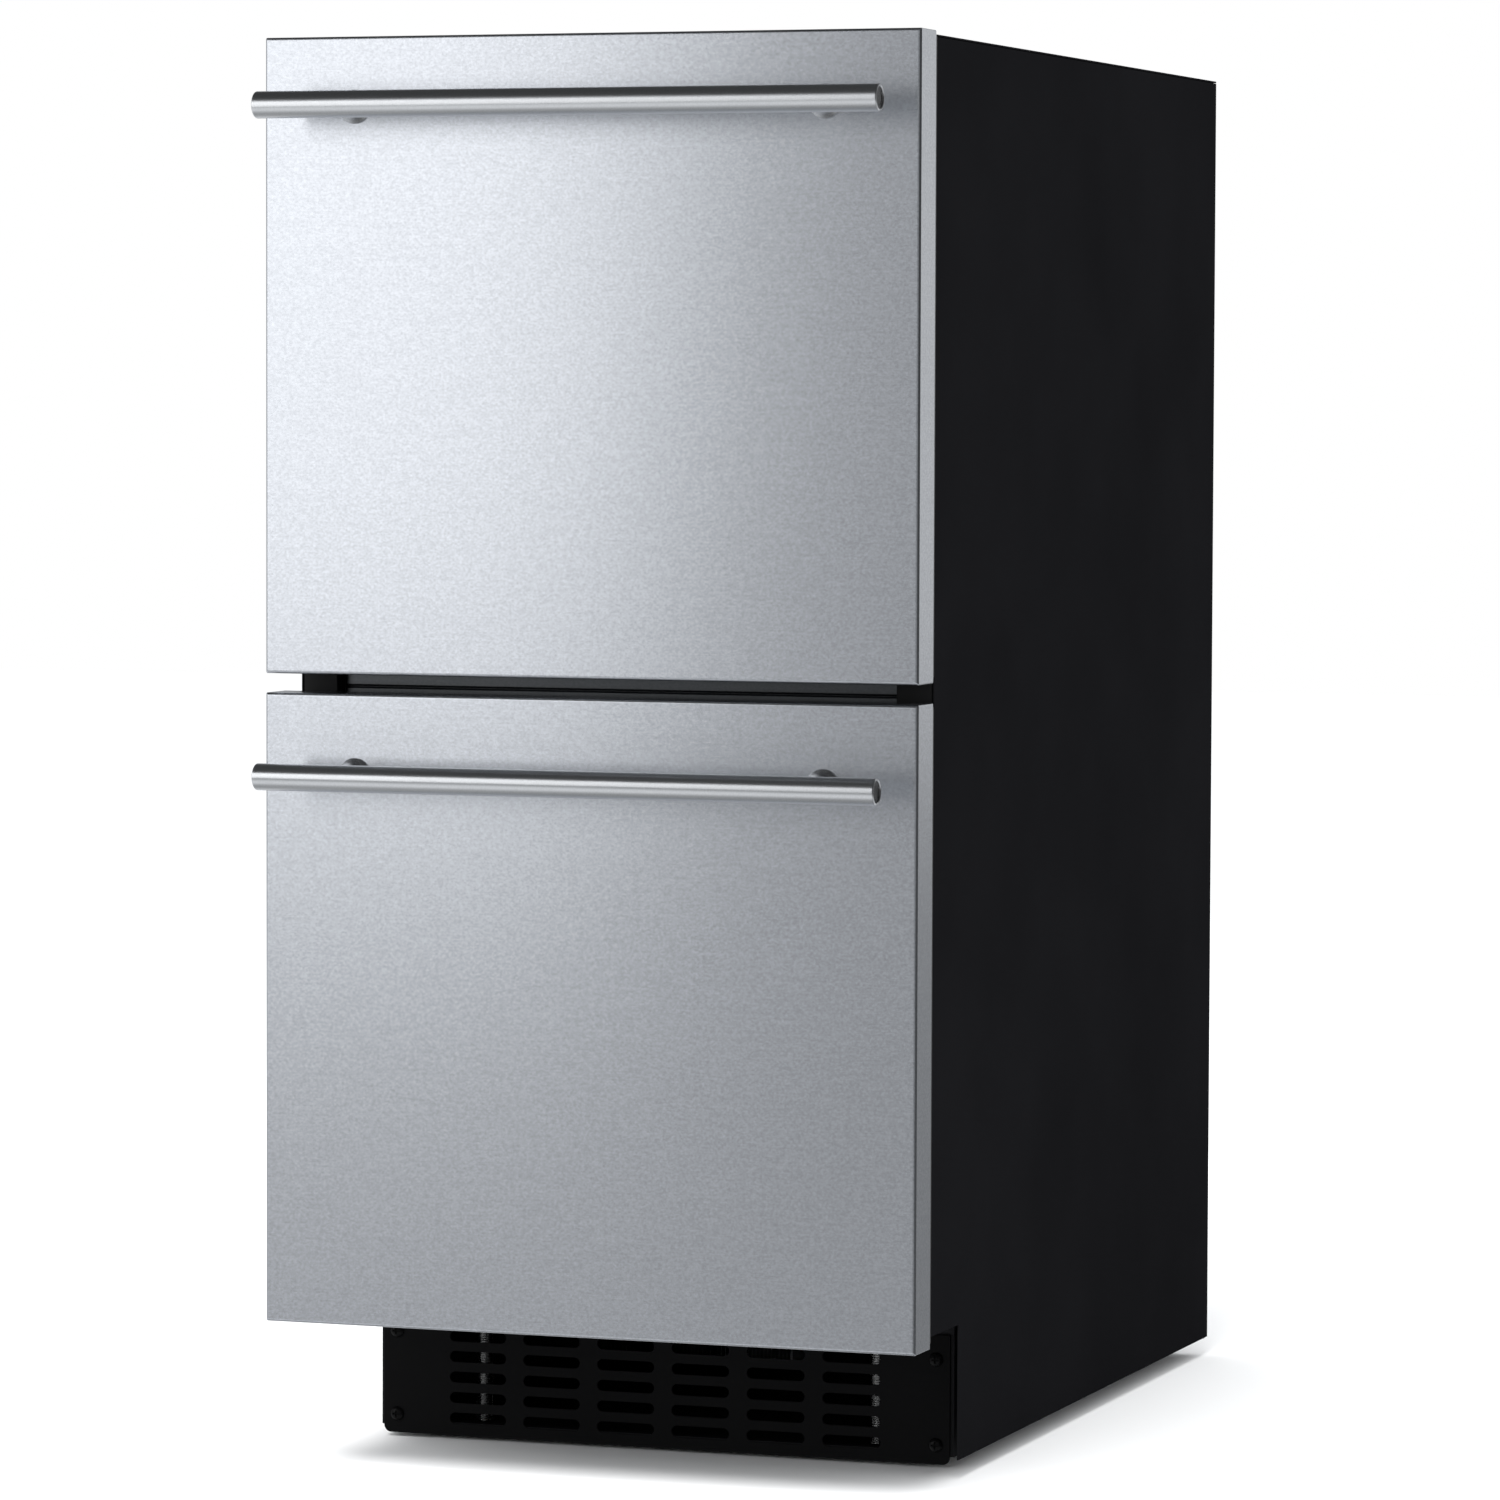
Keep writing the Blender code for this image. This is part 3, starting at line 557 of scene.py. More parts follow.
STEEL = brushed_steel("stainless_brushed", (0.592, 0.613, 0.652), 0.265, 0.68)
STEEL_BIN = brushed_steel("stainless_bin", (0.58, 0.585, 0.59), 0.34, 0.3, 0.8)
BAR = turned_steel("handle_stainless", (0.74, 0.755, 0.775), 0.32)
POST = turned_steel("post_stainless", (0.60, 0.605, 0.61), 0.24, "Y")
CAP_FACE = drawn_metal("cap_face_dark", (0.07, 0.072, 0.075), 0.30)
ENAMEL = enamel("cabinet_black_enamel", (0.0072, 0.0072, 0.0080), 0.60, 0.0)
# Painted light: the same black enamel as the side panels, made lighter so the recessed base wall, which
# sits in shade, shows as bright as the panel above it.
ENAMEL_PAINTED_LIGHT = enamel("base_enamel_painted_light", (0.0125, 0.0125, 0.0135), 0.60, 0.0)
FRAME_BLACK = enamel("frame_black_enamel", (0.0060, 0.0060, 0.0064), 0.5, 0.2)
KICK = enamel("kick_black_enamel", (0.0034, 0.0034, 0.0037), 0.45, 0.05, 0.000035, 1100.0)
SCREW = enamel("screw_black_oxide", (0.0026, 0.0026, 0.0028), 0.22, 0.09, 0.000004, 2400.0)
DARK = plastic("black_plastic", (0.012, 0.012, 0.0125), 0.45, 0.35)
DOOR_INNER = plastic("door_inner_plastic", (0.020, 0.020, 0.021), 0.42, 0.4)
WHITE = plastic("liner_white_plastic", (0.74, 0.75, 0.76), 0.32, 0.5, 0.00001, 900.0)
GREY_PLASTIC = plastic("cover_grey_plastic", (0.50, 0.51, 0.52), 0.42, 0.45)
RUBBER = rubber("gasket_rubber", (0.022, 0.022, 0.023))
GROMMET = rubber("grommet_rubber", (0.018, 0.018, 0.018))
FOAM = foam("polyurethane_foam", (0.66, 0.55, 0.30))
ZINC = galvanised("galvanised_sheet", (0.52, 0.53, 0.54))
# Painted shade: the mullion is stainless steel, but its colour is darkened far below the drawer steel to
# stand in for the shade in the narrow gap between the drawers.
MULLION_SHADED_STEEL = brushed_steel("mullion_steel_painted_shade", (0.10, 0.105, 0.11), 0.36, 0.4)
SLIDE = drawn_metal("slide_zinc", (0.55, 0.56, 0.575), 0.30)
STUD = drawn_metal("stud_zinc", (0.62, 0.62, 0.62), 0.24)
COPPER = drawn_metal("copper_tube", (0.72, 0.33, 0.20), 0.28)
ALU = drawn_metal("aluminium_fin", (0.68, 0.69, 0.70), 0.36)
SHELL = enamel("compressor_black", (0.010, 0.010, 0.010), 0.34, 0.5, 0.00005, 500.0)
LENS = plastic("lens_opal", (0.80, 0.80, 0.78), 0.30, 0.5)
BRASS = drawn_metal("pin_brass", (0.66, 0.55, 0.30), 0.25)


# =============================================================== carried-over CAD sheets
def dress(node, look, width=0.0, segments=2):
    """Gives a shown CAD node its material and softened edges."""
    obj = NODES[node]
    obj.data.materials.clear()
    obj.data.materials.append(look)
    if width:
        weld = obj.modifiers.new("weld", "WELD")
        weld.merge_threshold = 0.00002
        soften(obj, width, segments)
        even = obj.modifiers.new("even_normals", "WEIGHTED_NORMAL")
        even.keep_sharp = False
        even.weight = 100


for node in ("side_panel_left", "side_panel_right", "top_panel"):
    dress(node, ENAMEL, 0.0003)
dress("back_panel", ZINC, 0.0003)
dress("rear_grille", FRAME_BLACK, 0.0003)
dress("front_frame", FRAME_BLACK, 0.0006)
# painted shade: the mullion's darkened steel colour stands in for the shade of the gap between the drawers
dress("centre_mullion", MULLION_SHADED_STEEL, 0.0003)
# painted light: the base pan's enamel is lightened to offset the shade it sits in
dress("base_pan", ENAMEL_PAINTED_LIGHT, 0.0003)
dress("insulation_tub", DARK)
dress("control_box", GREY_PLASTIC, 0.0015, 3)
dress("power_inlet", DARK, 0.0008)
dress("fan_shroud", DARK, 0.0004)
for drawer in ("upper", "lower"):
    dress(f"{drawer}_front_core", FOAM)
    dress(f"{drawer}_front_liner", DOOR_INNER, 0.0022, 4)
    for side in ("left", "right"):
        for member in ("outer", "middle", "inner"):
            dress(f"slide_{member}_{drawer}_{side}", SLIDE, 0.0003)

# =============================================================== drawers
for drawer in ("upper", "lower"):
    body = f"{drawer}_drawer"

    # Stainless skin: one sheet with 1.8 mm bends on its four front edges.
    low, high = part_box(f"{drawer}_front_skin")
    face_y = low.y
    bend, sheet_t, corner_r = 0.0018, 0.0010, 0.0007

    def skin_loop(inset, depth):
        loop = rounded_loop(
            low.x + inset, high.x - inset, low.z + inset, high.z - inset, corner_r, 3
        )
        return [(x, low.y + depth, z) for x, z in loop]

    inner_bend = bend - sheet_t
    loops = [skin_loop(bend, sheet_t)]
    for s in range(1, 5):
        turn = math.radians(90 * s / 4)
        loops.append(
            skin_loop(bend - inner_bend * math.sin(turn), bend - inner_bend * math.cos(turn))
        )
    loops += [
        skin_loop(sheet_t, high.y - low.y - 0.0001),
        skin_loop(sheet_t - 0.0001, high.y - low.y),
        skin_loop(0.0002, high.y - low.y),
        skin_loop(0.0, high.y - low.y - 0.0002),
    ]
    for s in range(9):
        turn = math.radians(90 * s / 8)
        loops.append(skin_loop(bend * (1 - math.cos(turn)), bend * (1 - math.sin(turn))))
    own(
        f"{drawer}_skin", bridged(loops, cap_first=True, cap_last=True), STEEL,
        replaces=[f"{drawer}_front_skin"], angle=40, weighted=True,
    )

    # Magnetic gasket: bellows round the inner face.
    low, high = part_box(f"{drawer}_gasket")
    band = 0.0140
    depth = high.y - low.y
    profile = [
        (0.0020, 0.00), (0.0006, 0.12), (0.0026, 0.25), (0.0004, 0.40), (0.0026, 0.54),
        (0.0000, 0.70), (0.0000, 0.94), (0.0008, 1.00), (0.0062, 0.985), (0.0074, 0.93),
        (0.0086, 0.985), (0.0132, 1.00), (0.0140, 0.94), (0.0140, 0.70), (0.0114, 0.54),
        (0.0136, 0.40), (0.0114, 0.25), (0.0134, 0.12), (0.0120, 0.00),
    ]
    loops = []
    for inset, share in profile:
        loop = rounded_loop(
            low.x + inset, high.x - inset, low.z + inset, high.z - inset,
            max(0.0012, 0.012 - inset * 0.6), 5,
        )
        loops.append([(x, low.y + depth * share, z) for x, z in loop])
    own(f"{drawer}_seal", bridged(loops, close=True), RUBBER,
        replaces=[f"{drawer}_gasket"], angle=60)

    # Handle: tube, two caps, two posts.
    low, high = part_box(f"{drawer}_handle_bar")
    axis_y, axis_z, r = (low.y + high.y) / 2, (low.z + high.z) / 2, (high.z - low.z) / 2
    bore = r - 0.0015
    end_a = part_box(f"{drawer}_handle_cap_left")[0].x
    end_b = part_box(f"{drawer}_handle_cap_right")[1].x
    own(
        f"{drawer}_handle_tube",
        lathe(
            [
                (bore, end_a + 0.0004), (r - 0.0010, end_a), (r - 0.0007, end_a),
                (r - 0.0002, end_a + 0.0004), (r, end_a + 0.0009),
                (r, end_b - 0.0009), (r - 0.0002, end_b - 0.0004),
                (r - 0.0007, end_b), (r - 0.0010, end_b), (bore, end_b - 0.0004),
            ],
            (axis_y, axis_z), 0, 96,
        ),
        BAR, replaces=[f"{drawer}_handle_bar"], angle=28, weighted=True,
    )
    for side, sign in (("left", -1), ("right", 1)):
        low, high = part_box(f"{drawer}_handle_cap_{side}")
        inner, outer = (high.x, low.x) if sign < 0 else (low.x, high.x)
        step = sign * 0.0001
        own(
            f"{drawer}_end_cap_{side}",
            lathe(
                [
                    (0, inner), (bore - 0.00008, inner), (bore - 0.00008, outer - step * 10),
                    (bore - 0.0003, outer - step * 7), (bore - 0.0009, outer - step * 6),
                    (bore - 0.0016, outer - step * 6), (bore - 0.0019, outer - step * 8),
                    (0.0005, outer - step * 8), (0, outer - step * 8),
                ],
                (axis_y, axis_z), 0, 96,
            ),
            CAP_FACE, replaces=[f"{drawer}_handle_cap_{side}"], angle=30, weighted=True,
        )
        low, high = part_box(f"{drawer}_handle_post_{side}")
        x, z = (low.x + high.x) / 2, (low.z + high.z) / 2
        base = high.y
        top = low.y
        big = (high.z - low.z) / 2
        own(
            f"{drawer}_post_{side}",
            lathe(
                [
                    (0, base), (big - 0.0002, base), (big, base - 0.0002),
                    (big, base - 0.0009), (big - 0.0003, base - 0.0014),
                    (big - 0.0010, base - 0.0021), (big - 0.0019, base - 0.0032),
                    (big - 0.0027, base - 0.0047), (big - 0.0034, base - 0.0067),
                    (big - 0.0038, base - 0.0088), (big - 0.0041, base - 0.0112),
                    (big - 0.0042, top + 0.0066), (big - 0.0040, top + 0.0044),
                    (big - 0.0037, top + 0.0022), (big - 0.0036, top + 0.0004),
                    (big - 0.0040, top), (0, top),
                ],
                (x, z), 1, 64,
            ),
            POST, replaces=[f"{drawer}_handle_post_{side}"], angle=40, weighted=True,
        )

    # Bin: pressed tray with round corners, a turned-out rim and pressed ribs in the floor.
    low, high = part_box(f"{drawer}_bin")
    rim = 0.006
    wall_x0, wall_x1 = low.x + rim, high.x - rim
    wall_y0, wall_y1 = low.y, high.y - 0.005
    t = 0.0011

    def tray_loop(out, z, radius, front_out=0.0):
        loop = rounded_loop(
            wall_x0 - out, wall_x1 + out, wall_y0 - front_out, wall_y1 + min(out, 0.005),
            radius, 8,
        )
        return [(x, y, z) for x, y in loop]

    loops = [
        tray_loop(rim - 0.0002, high.z - 0.0022, 0.0205),
        tray_loop(rim, high.z - 0.0010, 0.0205),
        tray_loop(rim - 0.0008, high.z - 0.0001, 0.0200),
        tray_loop(0.0012, high.z - 0.0001, 0.0150),
        tray_loop(0.0002, high.z - 0.0006, 0.0142),
        tray_loop(-0.0002, high.z - 0.0020, 0.0140, -0.0002),
        tray_loop(-0.0002, low.z + 0.0080, 0.0140, -0.0002),
    ]
    for s in range(1, 6):
        turn = math.radians(18 * s)
        inset = 0.0078 * (1 - math.cos(turn))
        loops.append(
            tray_loop(-0.0002 - inset, low.z + 0.0080 - 0.0078 * math.sin(turn),
                      max(0.014 - inset, 0.004), -0.0002 - inset)
        )
    bm = bridged(loops, cap_last=True)
    tray = own(f"{drawer}_tray", bm, STEEL_BIN, replaces=[f"{drawer}_bin"], angle=50,
               weighted=True)
    tray_sheet = solidify(tray, t, 1.0)
    ribs = bmesh.new()
    floor_z = low.z + 0.0002 + t
    parts = []
    count = 5
    for i in range(count):
        x = wall_x0 + 0.045 + (wall_x1 - wall_x0 - 0.09) * i / (count - 1)
        length = wall_y1 - wall_y0 - 0.07
        outline = []
        levels = [(0.0045, 0.0), (0.0036, 0.0007), (0.0022, 0.0012)]
        rib_loops = []
        for half, lift in levels:
            loop = rounded_loop(
                x - half, x + half, wall_y0 + 0.035 + (0.0045 - half),
                wall_y0 + 0.035 + length - (0.0045 - half), half * 0.98, 5,
            )
            rib_loops.append([(a, b, floor_z + lift) for a, b in loop])
        parts.append(bridged(rib_loops, cap_first=True, cap_last=True))
    ribs.free()
    own(f"{drawer}_tray_ribs", joined(*parts), STEEL_BIN, body=body, slot=f"{drawer}_bin",
        angle=60)

# =============================================================== kick plate
low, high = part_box("kick_plate")
front = low.y
sheet = 0.0015
half = high.x
radius = 0.004
outline = [
    (x, z)
    for x, z in rounded_loop(low.x, high.x, low.z, high.z + radius + 0.002, radius, 8)
    if z < high.z - 0.001
]
bottom = [p for p in outline]
bottom = sorted(bottom, key=lambda p: 0)
corner_points = rounded_loop(low.x, high.x, low.z, high.z + 0.02, radius, 8)
outline = [p for p in corner_points if p[1] < low.z + radius + 1e-5]
right = [p for p in outline if p[0] > 0]
left = [p for p in outline if p[0] < 0]
outline = left + right + [(high.x, high.z), (low.x, high.z)]
plate = prism(outline, 1, front, front + sheet)
screws = [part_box(f"kick_screw_{n}") for n in (1, 2, 3, 4)]
columns, rows = 6, 5
pitch_x, pitch_z = 0.0444, 0.01165
first_z = low.z + 0.0100
cutters = []
for column in range(columns):
    for row in range(rows):
        x = (column - (columns - 1) / 2) * pitch_x
        z = first_z + row * pitch_z
        cutters.append(prism(pill(x, z, 0.034, 0.0062), 1, front - 0.004, front + 0.006))
for s_low, s_high in screws:
    cutters.append(
        lathe(
            [(0, front - 0.004), (0.0021, front - 0.004), (0.0021, front + 0.006), (0, front + 0.006)],
            ((s_low.x + s_high.x) / 2, (s_low.z + s_high.z) / 2), 1, 16,
        )
    )
plate = carved(plate, joined(*cutters))
kick = own("kick_cover", plate, KICK, replaces=["kick_plate"], angle=50, weighted=True)
soften(kick, 0.00035, 2, 60)
lip_low = high.y
own(
    "kick_lip",
    block((low.x + 0.006, high.x - 0.006), (front + sheet - 0.0004, high.y - 0.0003),
          (low.z + 0.0002, low.z + 0.0014), 0.0004, 2),
    KICK, body="cabinet", slot="kick_plate", weighted=True,
)
for number, (s_low, s_high) in enumerate(screws, 1):
    x, z = (s_low.x + s_high.x) / 2, (s_low.z + s_high.z) / 2
    top = s_low.y
    r = (s_high.x - s_low.x) / 2
    head = lathe(
        [
            (0, top), (r * 0.30, top + 0.00005), (r * 0.60, top + 0.00035),
            (r * 0.85, top + 0.0009), (r * 0.97, top + 0.0015), (r, top + 0.0021),
            (r * 0.99, top + 0.00235), (0.0016, top + 0.0023), (0.0016, s_high.y - 0.0015),
            (0, s_high.y),
        ],
        (x, z), 1, 40,
    )
    cross = joined(
        block((x - 0.0021, x + 0.0021), (top - 0.001, top + 0.0013), (z - 0.00042, z + 0.00042)),
    )
    head = carved(head, cross)
    cross = block((x - 0.00042, x + 0.00042), (top - 0.001, top + 0.0013), (z - 0.0021, z + 0.0021))
    head = carved(head, cross)
    own(f"kick_fixing_{number}", head, SCREW, replaces=[f"kick_screw_{number}"], angle=40)


# =============================================================== levelling feet
def threaded(x, y, low_z, high_z, radius, depth, pitch, steps=28):
    """Stud with a helical thread."""
    rows_ = int((high_z - low_z) / pitch * 6)
    loops = []
    for j in range(rows_ + 1):
        z = low_z + (high_z - low_z) * j / rows_
        loop = []
        for s in range(steps):
            share = (z / pitch - s / steps) % 1.0
            r_ = radius - depth * abs(2 * share - 1) ** 1.2
            fade = min(1.0, (high_z - z) / 0.001)
            r_ = r_ * fade + (radius - depth) * (1 - fade)
            loop.append((x + r_ * math.cos(TAU * s / steps), y + r_ * math.sin(TAU * s / steps), z))
        loops.append(loop)
    return bridged(loops, cap_first=True, cap_last=True)


for end in ("front", "rear"):
    for side in ("left", "right"):
        node = f"foot_{end}_{side}"
        low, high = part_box(node)
        x, y = (low.x + high.x) / 2, (low.y + high.y) / 2
        r = (high.x - low.x) / 2
        pad = lathe(
            [
                (0, low.z), (r - 0.0018, low.z), (r - 0.0006, low.z + 0.0003),
                (r, low.z + 0.0012), (r - 0.0002, low.z + 0.0022), (r - 0.0010, low.z + 0.0032),
                (r - 0.0026, low.z + 0.0043), (0.0080, low.z + 0.0050), (0, low.z + 0.0052),
            ],
            (x, y), 2, 48,
        )
        own(f"{node}_pad", pad, DARK, body=HOME[node], slot=node, angle=50)
        own(
            f"{node}_stud",
            threaded(x, y, low.z + 0.0050, high.z, 0.0050, 0.00045, 0.00125),
            STUD, replaces=[node], angle=60,
        )

# =============================================================== inner liner
low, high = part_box("inner_liner")
step_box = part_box("insulation_tub")
wall = 0.0008
machine_low, machine_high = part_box("condenser_coil")
step_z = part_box("lower_bin")[1].z - 0.024
liner_step_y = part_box("lower_bin")[1].y + 0.009
shell = boxes(
    [
        ((low.x, high.x), (low.y, high.y), (step_z - 0.001, high.z)),
        ((low.x, high.x), (low.y, liner_step_y + 0.001), (low.z, high.z)),
    ]
)
bmesh.ops.delete(
    shell,
    geom=[f for f in shell.faces if all(abs(v.co.y - low.y) < 1e-6 for v in f.verts)],
    context="FACES_ONLY",
)
inner_edges = [e for e in shell.edges if len(e.link_faces) == 2]
bmesh.ops.bevel(shell, geom=inner_edges, offset=0.007, segments=5, profile=0.5, affect="EDGES")
liner = own("liner_shell", shell, WHITE, replaces=["inner_liner"], angle=50, weighted=True)
solidify(liner, wall)

# =============================================================== evaporator cover, guard, fan, coil
low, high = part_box("evaporator_cover")
fan_low, fan_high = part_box("evaporator_fan")
ev_x, ev_z = (fan_low.x + fan_high.x) / 2, (fan_low.z + fan_high.z) / 2
cover = block((low.x, high.x), (low.y, high.y), (low.z, high.z))
bmesh.ops.delete(
    cover,
    geom=[f for f in cover.faces if all(abs(v.co.y - high.y) < 1e-6 for v in f.verts)],
    context="FACES_ONLY",
)
bmesh.ops.bevel(
    cover, geom=[e for e in cover.edges if len(e.link_faces) == 2], offset=0.008, segments=6,
    profile=0.5, affect="EDGES",
)
cover_piece = own("cover_temporary", cover, GREY_PLASTIC)
solidify(cover_piece, 0.0012)
baked(cover_piece)
bm = bmesh.new()
bm.from_mesh(cover_piece.data)
bpy.data.objects.remove(cover_piece, do_unlink=True)
holes = [
    prism(pill(-0.120 + 0.030 * i, low.z + 0.022 + 0.011 * k, 0.020, 0.005, 6), 1,
          low.y - 0.01, low.y + 0.01)
    for i in range(9) for k in range(2)
]
holes.append(lathe([(0, low.y - 0.01), (0.048, low.y - 0.01), (0.048, low.y + 0.01), (0, low.y + 0.01)],
                   (ev_x, ev_z), 1, 64))
bm = carved(bm, joined(*holes))
own("evaporator_shroud", bm, GREY_PLASTIC, replaces=["evaporator_cover"], angle=40, weighted=True)
guard = []
for ring_r in (0.0185, 0.0255, 0.0325, 0.0395, 0.0465):
    guard.append(
        tube(
            [
                (ev_x + ring_r * math.cos(TAU * s / 48), low.y + 0.0009,
                 ev_z + ring_r * math.sin(TAU * s / 48))
                for s in range(49)
            ],
            0.0006, 8, caps=False,
        )
    )
for s in range(6):
    turn = TAU * s / 6
    guard.append(
        tube(
            [
                (ev_x + q * math.cos(turn), low.y + 0.0019, ev_z + q * math.sin(turn))
                for q in (0.010, 0.0485)
            ],
            0.0007, 8,
        )
    )
guard.append(
    lathe([(0, low.y + 0.0004), (0.012, low.y + 0.0006), (0.0135, low.y + 0.0014),
           (0.0135, low.y + 0.0034), (0, low.y + 0.0034)], (ev_x, ev_z), 1, 40)
)
own("evaporator_guard", joined(*guard), DARK, body="cabinet", slot="evaporator_cover", angle=50)


def axial_fan(node, name, blades, pitch_root, pitch_tip):
    """Hub and twisted, cambered blades round the depth axis."""
    low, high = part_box(node)
    x, z = (low.x + high.x) / 2, (low.z + high.z) / 2
    tip = min(high.x - x, high.z - z) * 0.985
    hub = tip * 0.31
    y0, y1 = low.y, high.y
    mid = (y0 + y1) / 2
    half_y = (y1 - y0) / 2 - 0.0008
    parts = [
        lathe(
            [
                (0, y0), (hub * 0.7, y0), (hub * 0.92, y0 + 0.0008), (hub, y0 + 0.0022),
                (hub, y1 - 0.0006), (hub - 0.0006, y1), (0, y1),
            ],
            (x, z), 1, 48,
        )
    ]
    for i in range(blades):
        top_rows, bottom_rows = [], []
        for a in range(9):
            share = a / 8
            radius_ = hub * 0.92 + (tip - hub * 0.92) * share
            pitch = math.radians(pitch_root + (pitch_tip - pitch_root) * share)
            chord = 0.030 * (tip / 0.056) * (0.75 + 0.5 * math.sin(math.pi * min(1, share * 1.05) * 0.62))
            chord = min(chord, 2 * half_y / max(0.2, math.sin(pitch)) * 0.96)
            row_t, row_b = [], []
            for b in range(9):
                u = b / 8 - 0.5
                along = u * chord
                camber = 0.0016 * (1 - 4 * u * u)
                dy = along * math.sin(pitch) - camber
                arc = (along * math.cos(pitch)) / radius_ + TAU * i / blades + 0.25 * share
                dy = max(-half_y, min(half_y, dy))
                thick = 0.0006 * (1 - 0.5 * abs(2 * u))
                for row, sign in ((row_t, 1), (row_b, -1)):
                    row.append(
                        (
                            x + radius_ * math.cos(arc),
                            mid + dy + sign * thick,
                            z + radius_ * math.sin(arc),
                        )
                    )
            top_rows.append(row_t)
            bottom_rows.append(row_b)
        loops = [t_ + list(reversed(b_)) for t_, b_ in zip(top_rows, bottom_rows)]
        parts.append(bridged(loops, cap_first=True, cap_last=True))
    return own(name, joined(*parts), DARK, replaces=[node], angle=55)


axial_fan("evaporator_fan", "evaporator_rotor", 7, 40, 24)
axial_fan("condenser_fan", "condenser_rotor", 7, 40, 24)


def coil(node, name, fins, rows_y, tubes_z):
    """Fin pack with copper tubes and return bends inside the box of the CAD node."""
    low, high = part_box(node)
    bend = 0.006
    x0, x1 = low.x + bend + 0.002, high.x - bend - 0.002
    parts = []
    for i in range(fins):
        x = x0 + (x1 - x0) * i / (fins - 1)
        parts.append(block((x - 0.00012, x + 0.00012), (low.y, high.y), (low.z, high.z)))
    for x in (x0 - 0.0008, x1 + 0.0008):
        parts.append(block((x - 0.0005, x + 0.0005), (low.y, high.y), (low.z, high.z), 0.0002, 1))
    own(name + "_fins", joined(*parts), ALU, replaces=[node], flat=True)
    path = []
    r = 0.0035
    for i, z in enumerate(tubes_z):
        y = low.y + (high.y - low.y) * (0.32 if i % 2 else 0.68)
        ends = (low.x + r + 0.0005, high.x - r - 0.0005)
        if i % 2:
            ends = ends[::-1]
        path += [(ends[0], y, z), (ends[1], y, z)]
    own(name + "_tubes", tube(path, r, 12, smooth=0.007), COPPER, body=HOME[node], slot=node,
        angle=60)


low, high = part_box("evaporator_coil")
coil("evaporator_coil", "evaporator", 60, 2, [low.z + 0.014 + 0.0275 * i for i in range(8)])
low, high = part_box("condenser_coil")
coil("condenser_coil", "condenser", 56, 2, [low.z + 0.011 + 0.0229 * i for i in range(7)])

# =============================================================== compressor
low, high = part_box("compressor")
cx, cy = (low.x + high.x) / 2, (low.y + high.y) / 2
profile = [
    (0, 0.0200), (0.046, 0.0200), (0.0535, 0.0225), (0.0585, 0.0275), (0.0605, 0.0340),
    (0.0620, 0.0880), (0.0628, 0.0895), (0.0645, 0.0905), (0.0645, 0.0970), (0.0628, 0.0980),
    (0.0615, 0.1000), (0.0606, 0.1400), (0.0592, 0.1530), (0.0550, 0.1660), (0.0475, 0.1765),
    (0.0360, 0.1845), (0.0200, 0.1895), (0.0080, 0.1908), (0, 0.1910),
]
own("compressor_shell", lathe(profile, (cx, cy), 2, 72), SHELL, replaces=["compressor"], angle=35)
feet_parts = []
for dy in (-0.0475, 0.0475):
    feet_parts.append(
        block((low.x + 0.0002, high.x - 0.0002), (cy + dy - 0.0075, cy + dy + 0.0075),
              (0.0175, 0.0200), 0.0008, 2)
    )
feet_parts.append(block((cx - 0.020, cx + 0.020), (cy - 0.054, cy + 0.054), (0.0196, 0.0226), 0.0008, 2))
own("compressor_bracket", joined(*feet_parts), SHELL, body="cabinet", slot="compressor")
grommets = []
bolts = []
for sx in (-1, 1):
    for sy in (-1, 1):
        gx, gy = cx + sx * 0.058, cy + sy * 0.0475
        grommets.append(
            lathe(
                [
                    (0, 0.0078), (0.0060, 0.0078), (0.0066, 0.0090), (0.0066, 0.0105),
                    (0.0052, 0.0115), (0.0052, 0.0130), (0.0066, 0.0140), (0.0066, 0.0168),
                    (0.0060, 0.0176), (0, 0.0176),
                ],
                (gx, gy), 2, 32,
            )
        )
        bolts.append(
            lathe([(0, 0.0198), (0.0042, 0.0198), (0.0042, 0.0228), (0.0034, 0.0236), (0, 0.0236)],
                  (gx, gy), 2, 6)
        )
own("compressor_grommets", joined(*grommets), GROMMET, body="cabinet", slot="compressor")
own("compressor_bolts", joined(*bolts), STUD, body="cabinet", slot="compressor", flat=True)
own(
    "compressor_relay",
    block((cx - 0.026, cx + 0.022), (cy - 0.078, cy - 0.0575), (0.055, 0.105), 0.003, 4),
    DARK, body="cabinet", slot="compressor", weighted=True,
)
pipes = [
    tube(
        [(cx - 0.052, cy + 0.020, 0.120), (cx - 0.078, cy + 0.030, 0.120),
         (cx - 0.078, cy + 0.030, 0.230), (cx - 0.078, cy + 0.060, 0.300)],
        0.0042, 14, smooth=0.014,
    ),
    tube(
        [(cx - 0.052, cy - 0.012, 0.075), (cx - 0.072, cy - 0.016, 0.075),
         (cx - 0.072, cy - 0.016, 0.185), (cx - 0.130, cy - 0.0835, 0.185),
         (cx - 0.130, cy - 0.0835, 0.160)],
        0.0032, 14, smooth=0.012,
    ),
    tube(
        [(cx + 0.020, cy + 0.054, 0.070), (cx + 0.020, cy + 0.072, 0.070),
         (cx + 0.020, cy + 0.072, 0.105)],
        0.0032, 14, smooth=0.010,
    ),
]
own("compressor_pipes", joined(*pipes), COPPER, body="cabinet", slot="compressor", angle=60)
drier = lathe(
    [(0, 0.205), (0.0030, 0.206), (0.0040, 0.212), (0.0080, 0.220), (0.0082, 0.224),
     (0.0082, 0.262), (0.0080, 0.266), (0.0040, 0.274), (0.0030, 0.280), (0, 0.281)],
    (cx - 0.110, cy + 0.030), 2, 32,
)
own("filter_drier", drier, COPPER, body="cabinet", slot="compressor", angle=40)

# =============================================================== rear, top and inner details
low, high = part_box("back_panel")
back_y = high.y
limit_y = CAD_HIGH.y


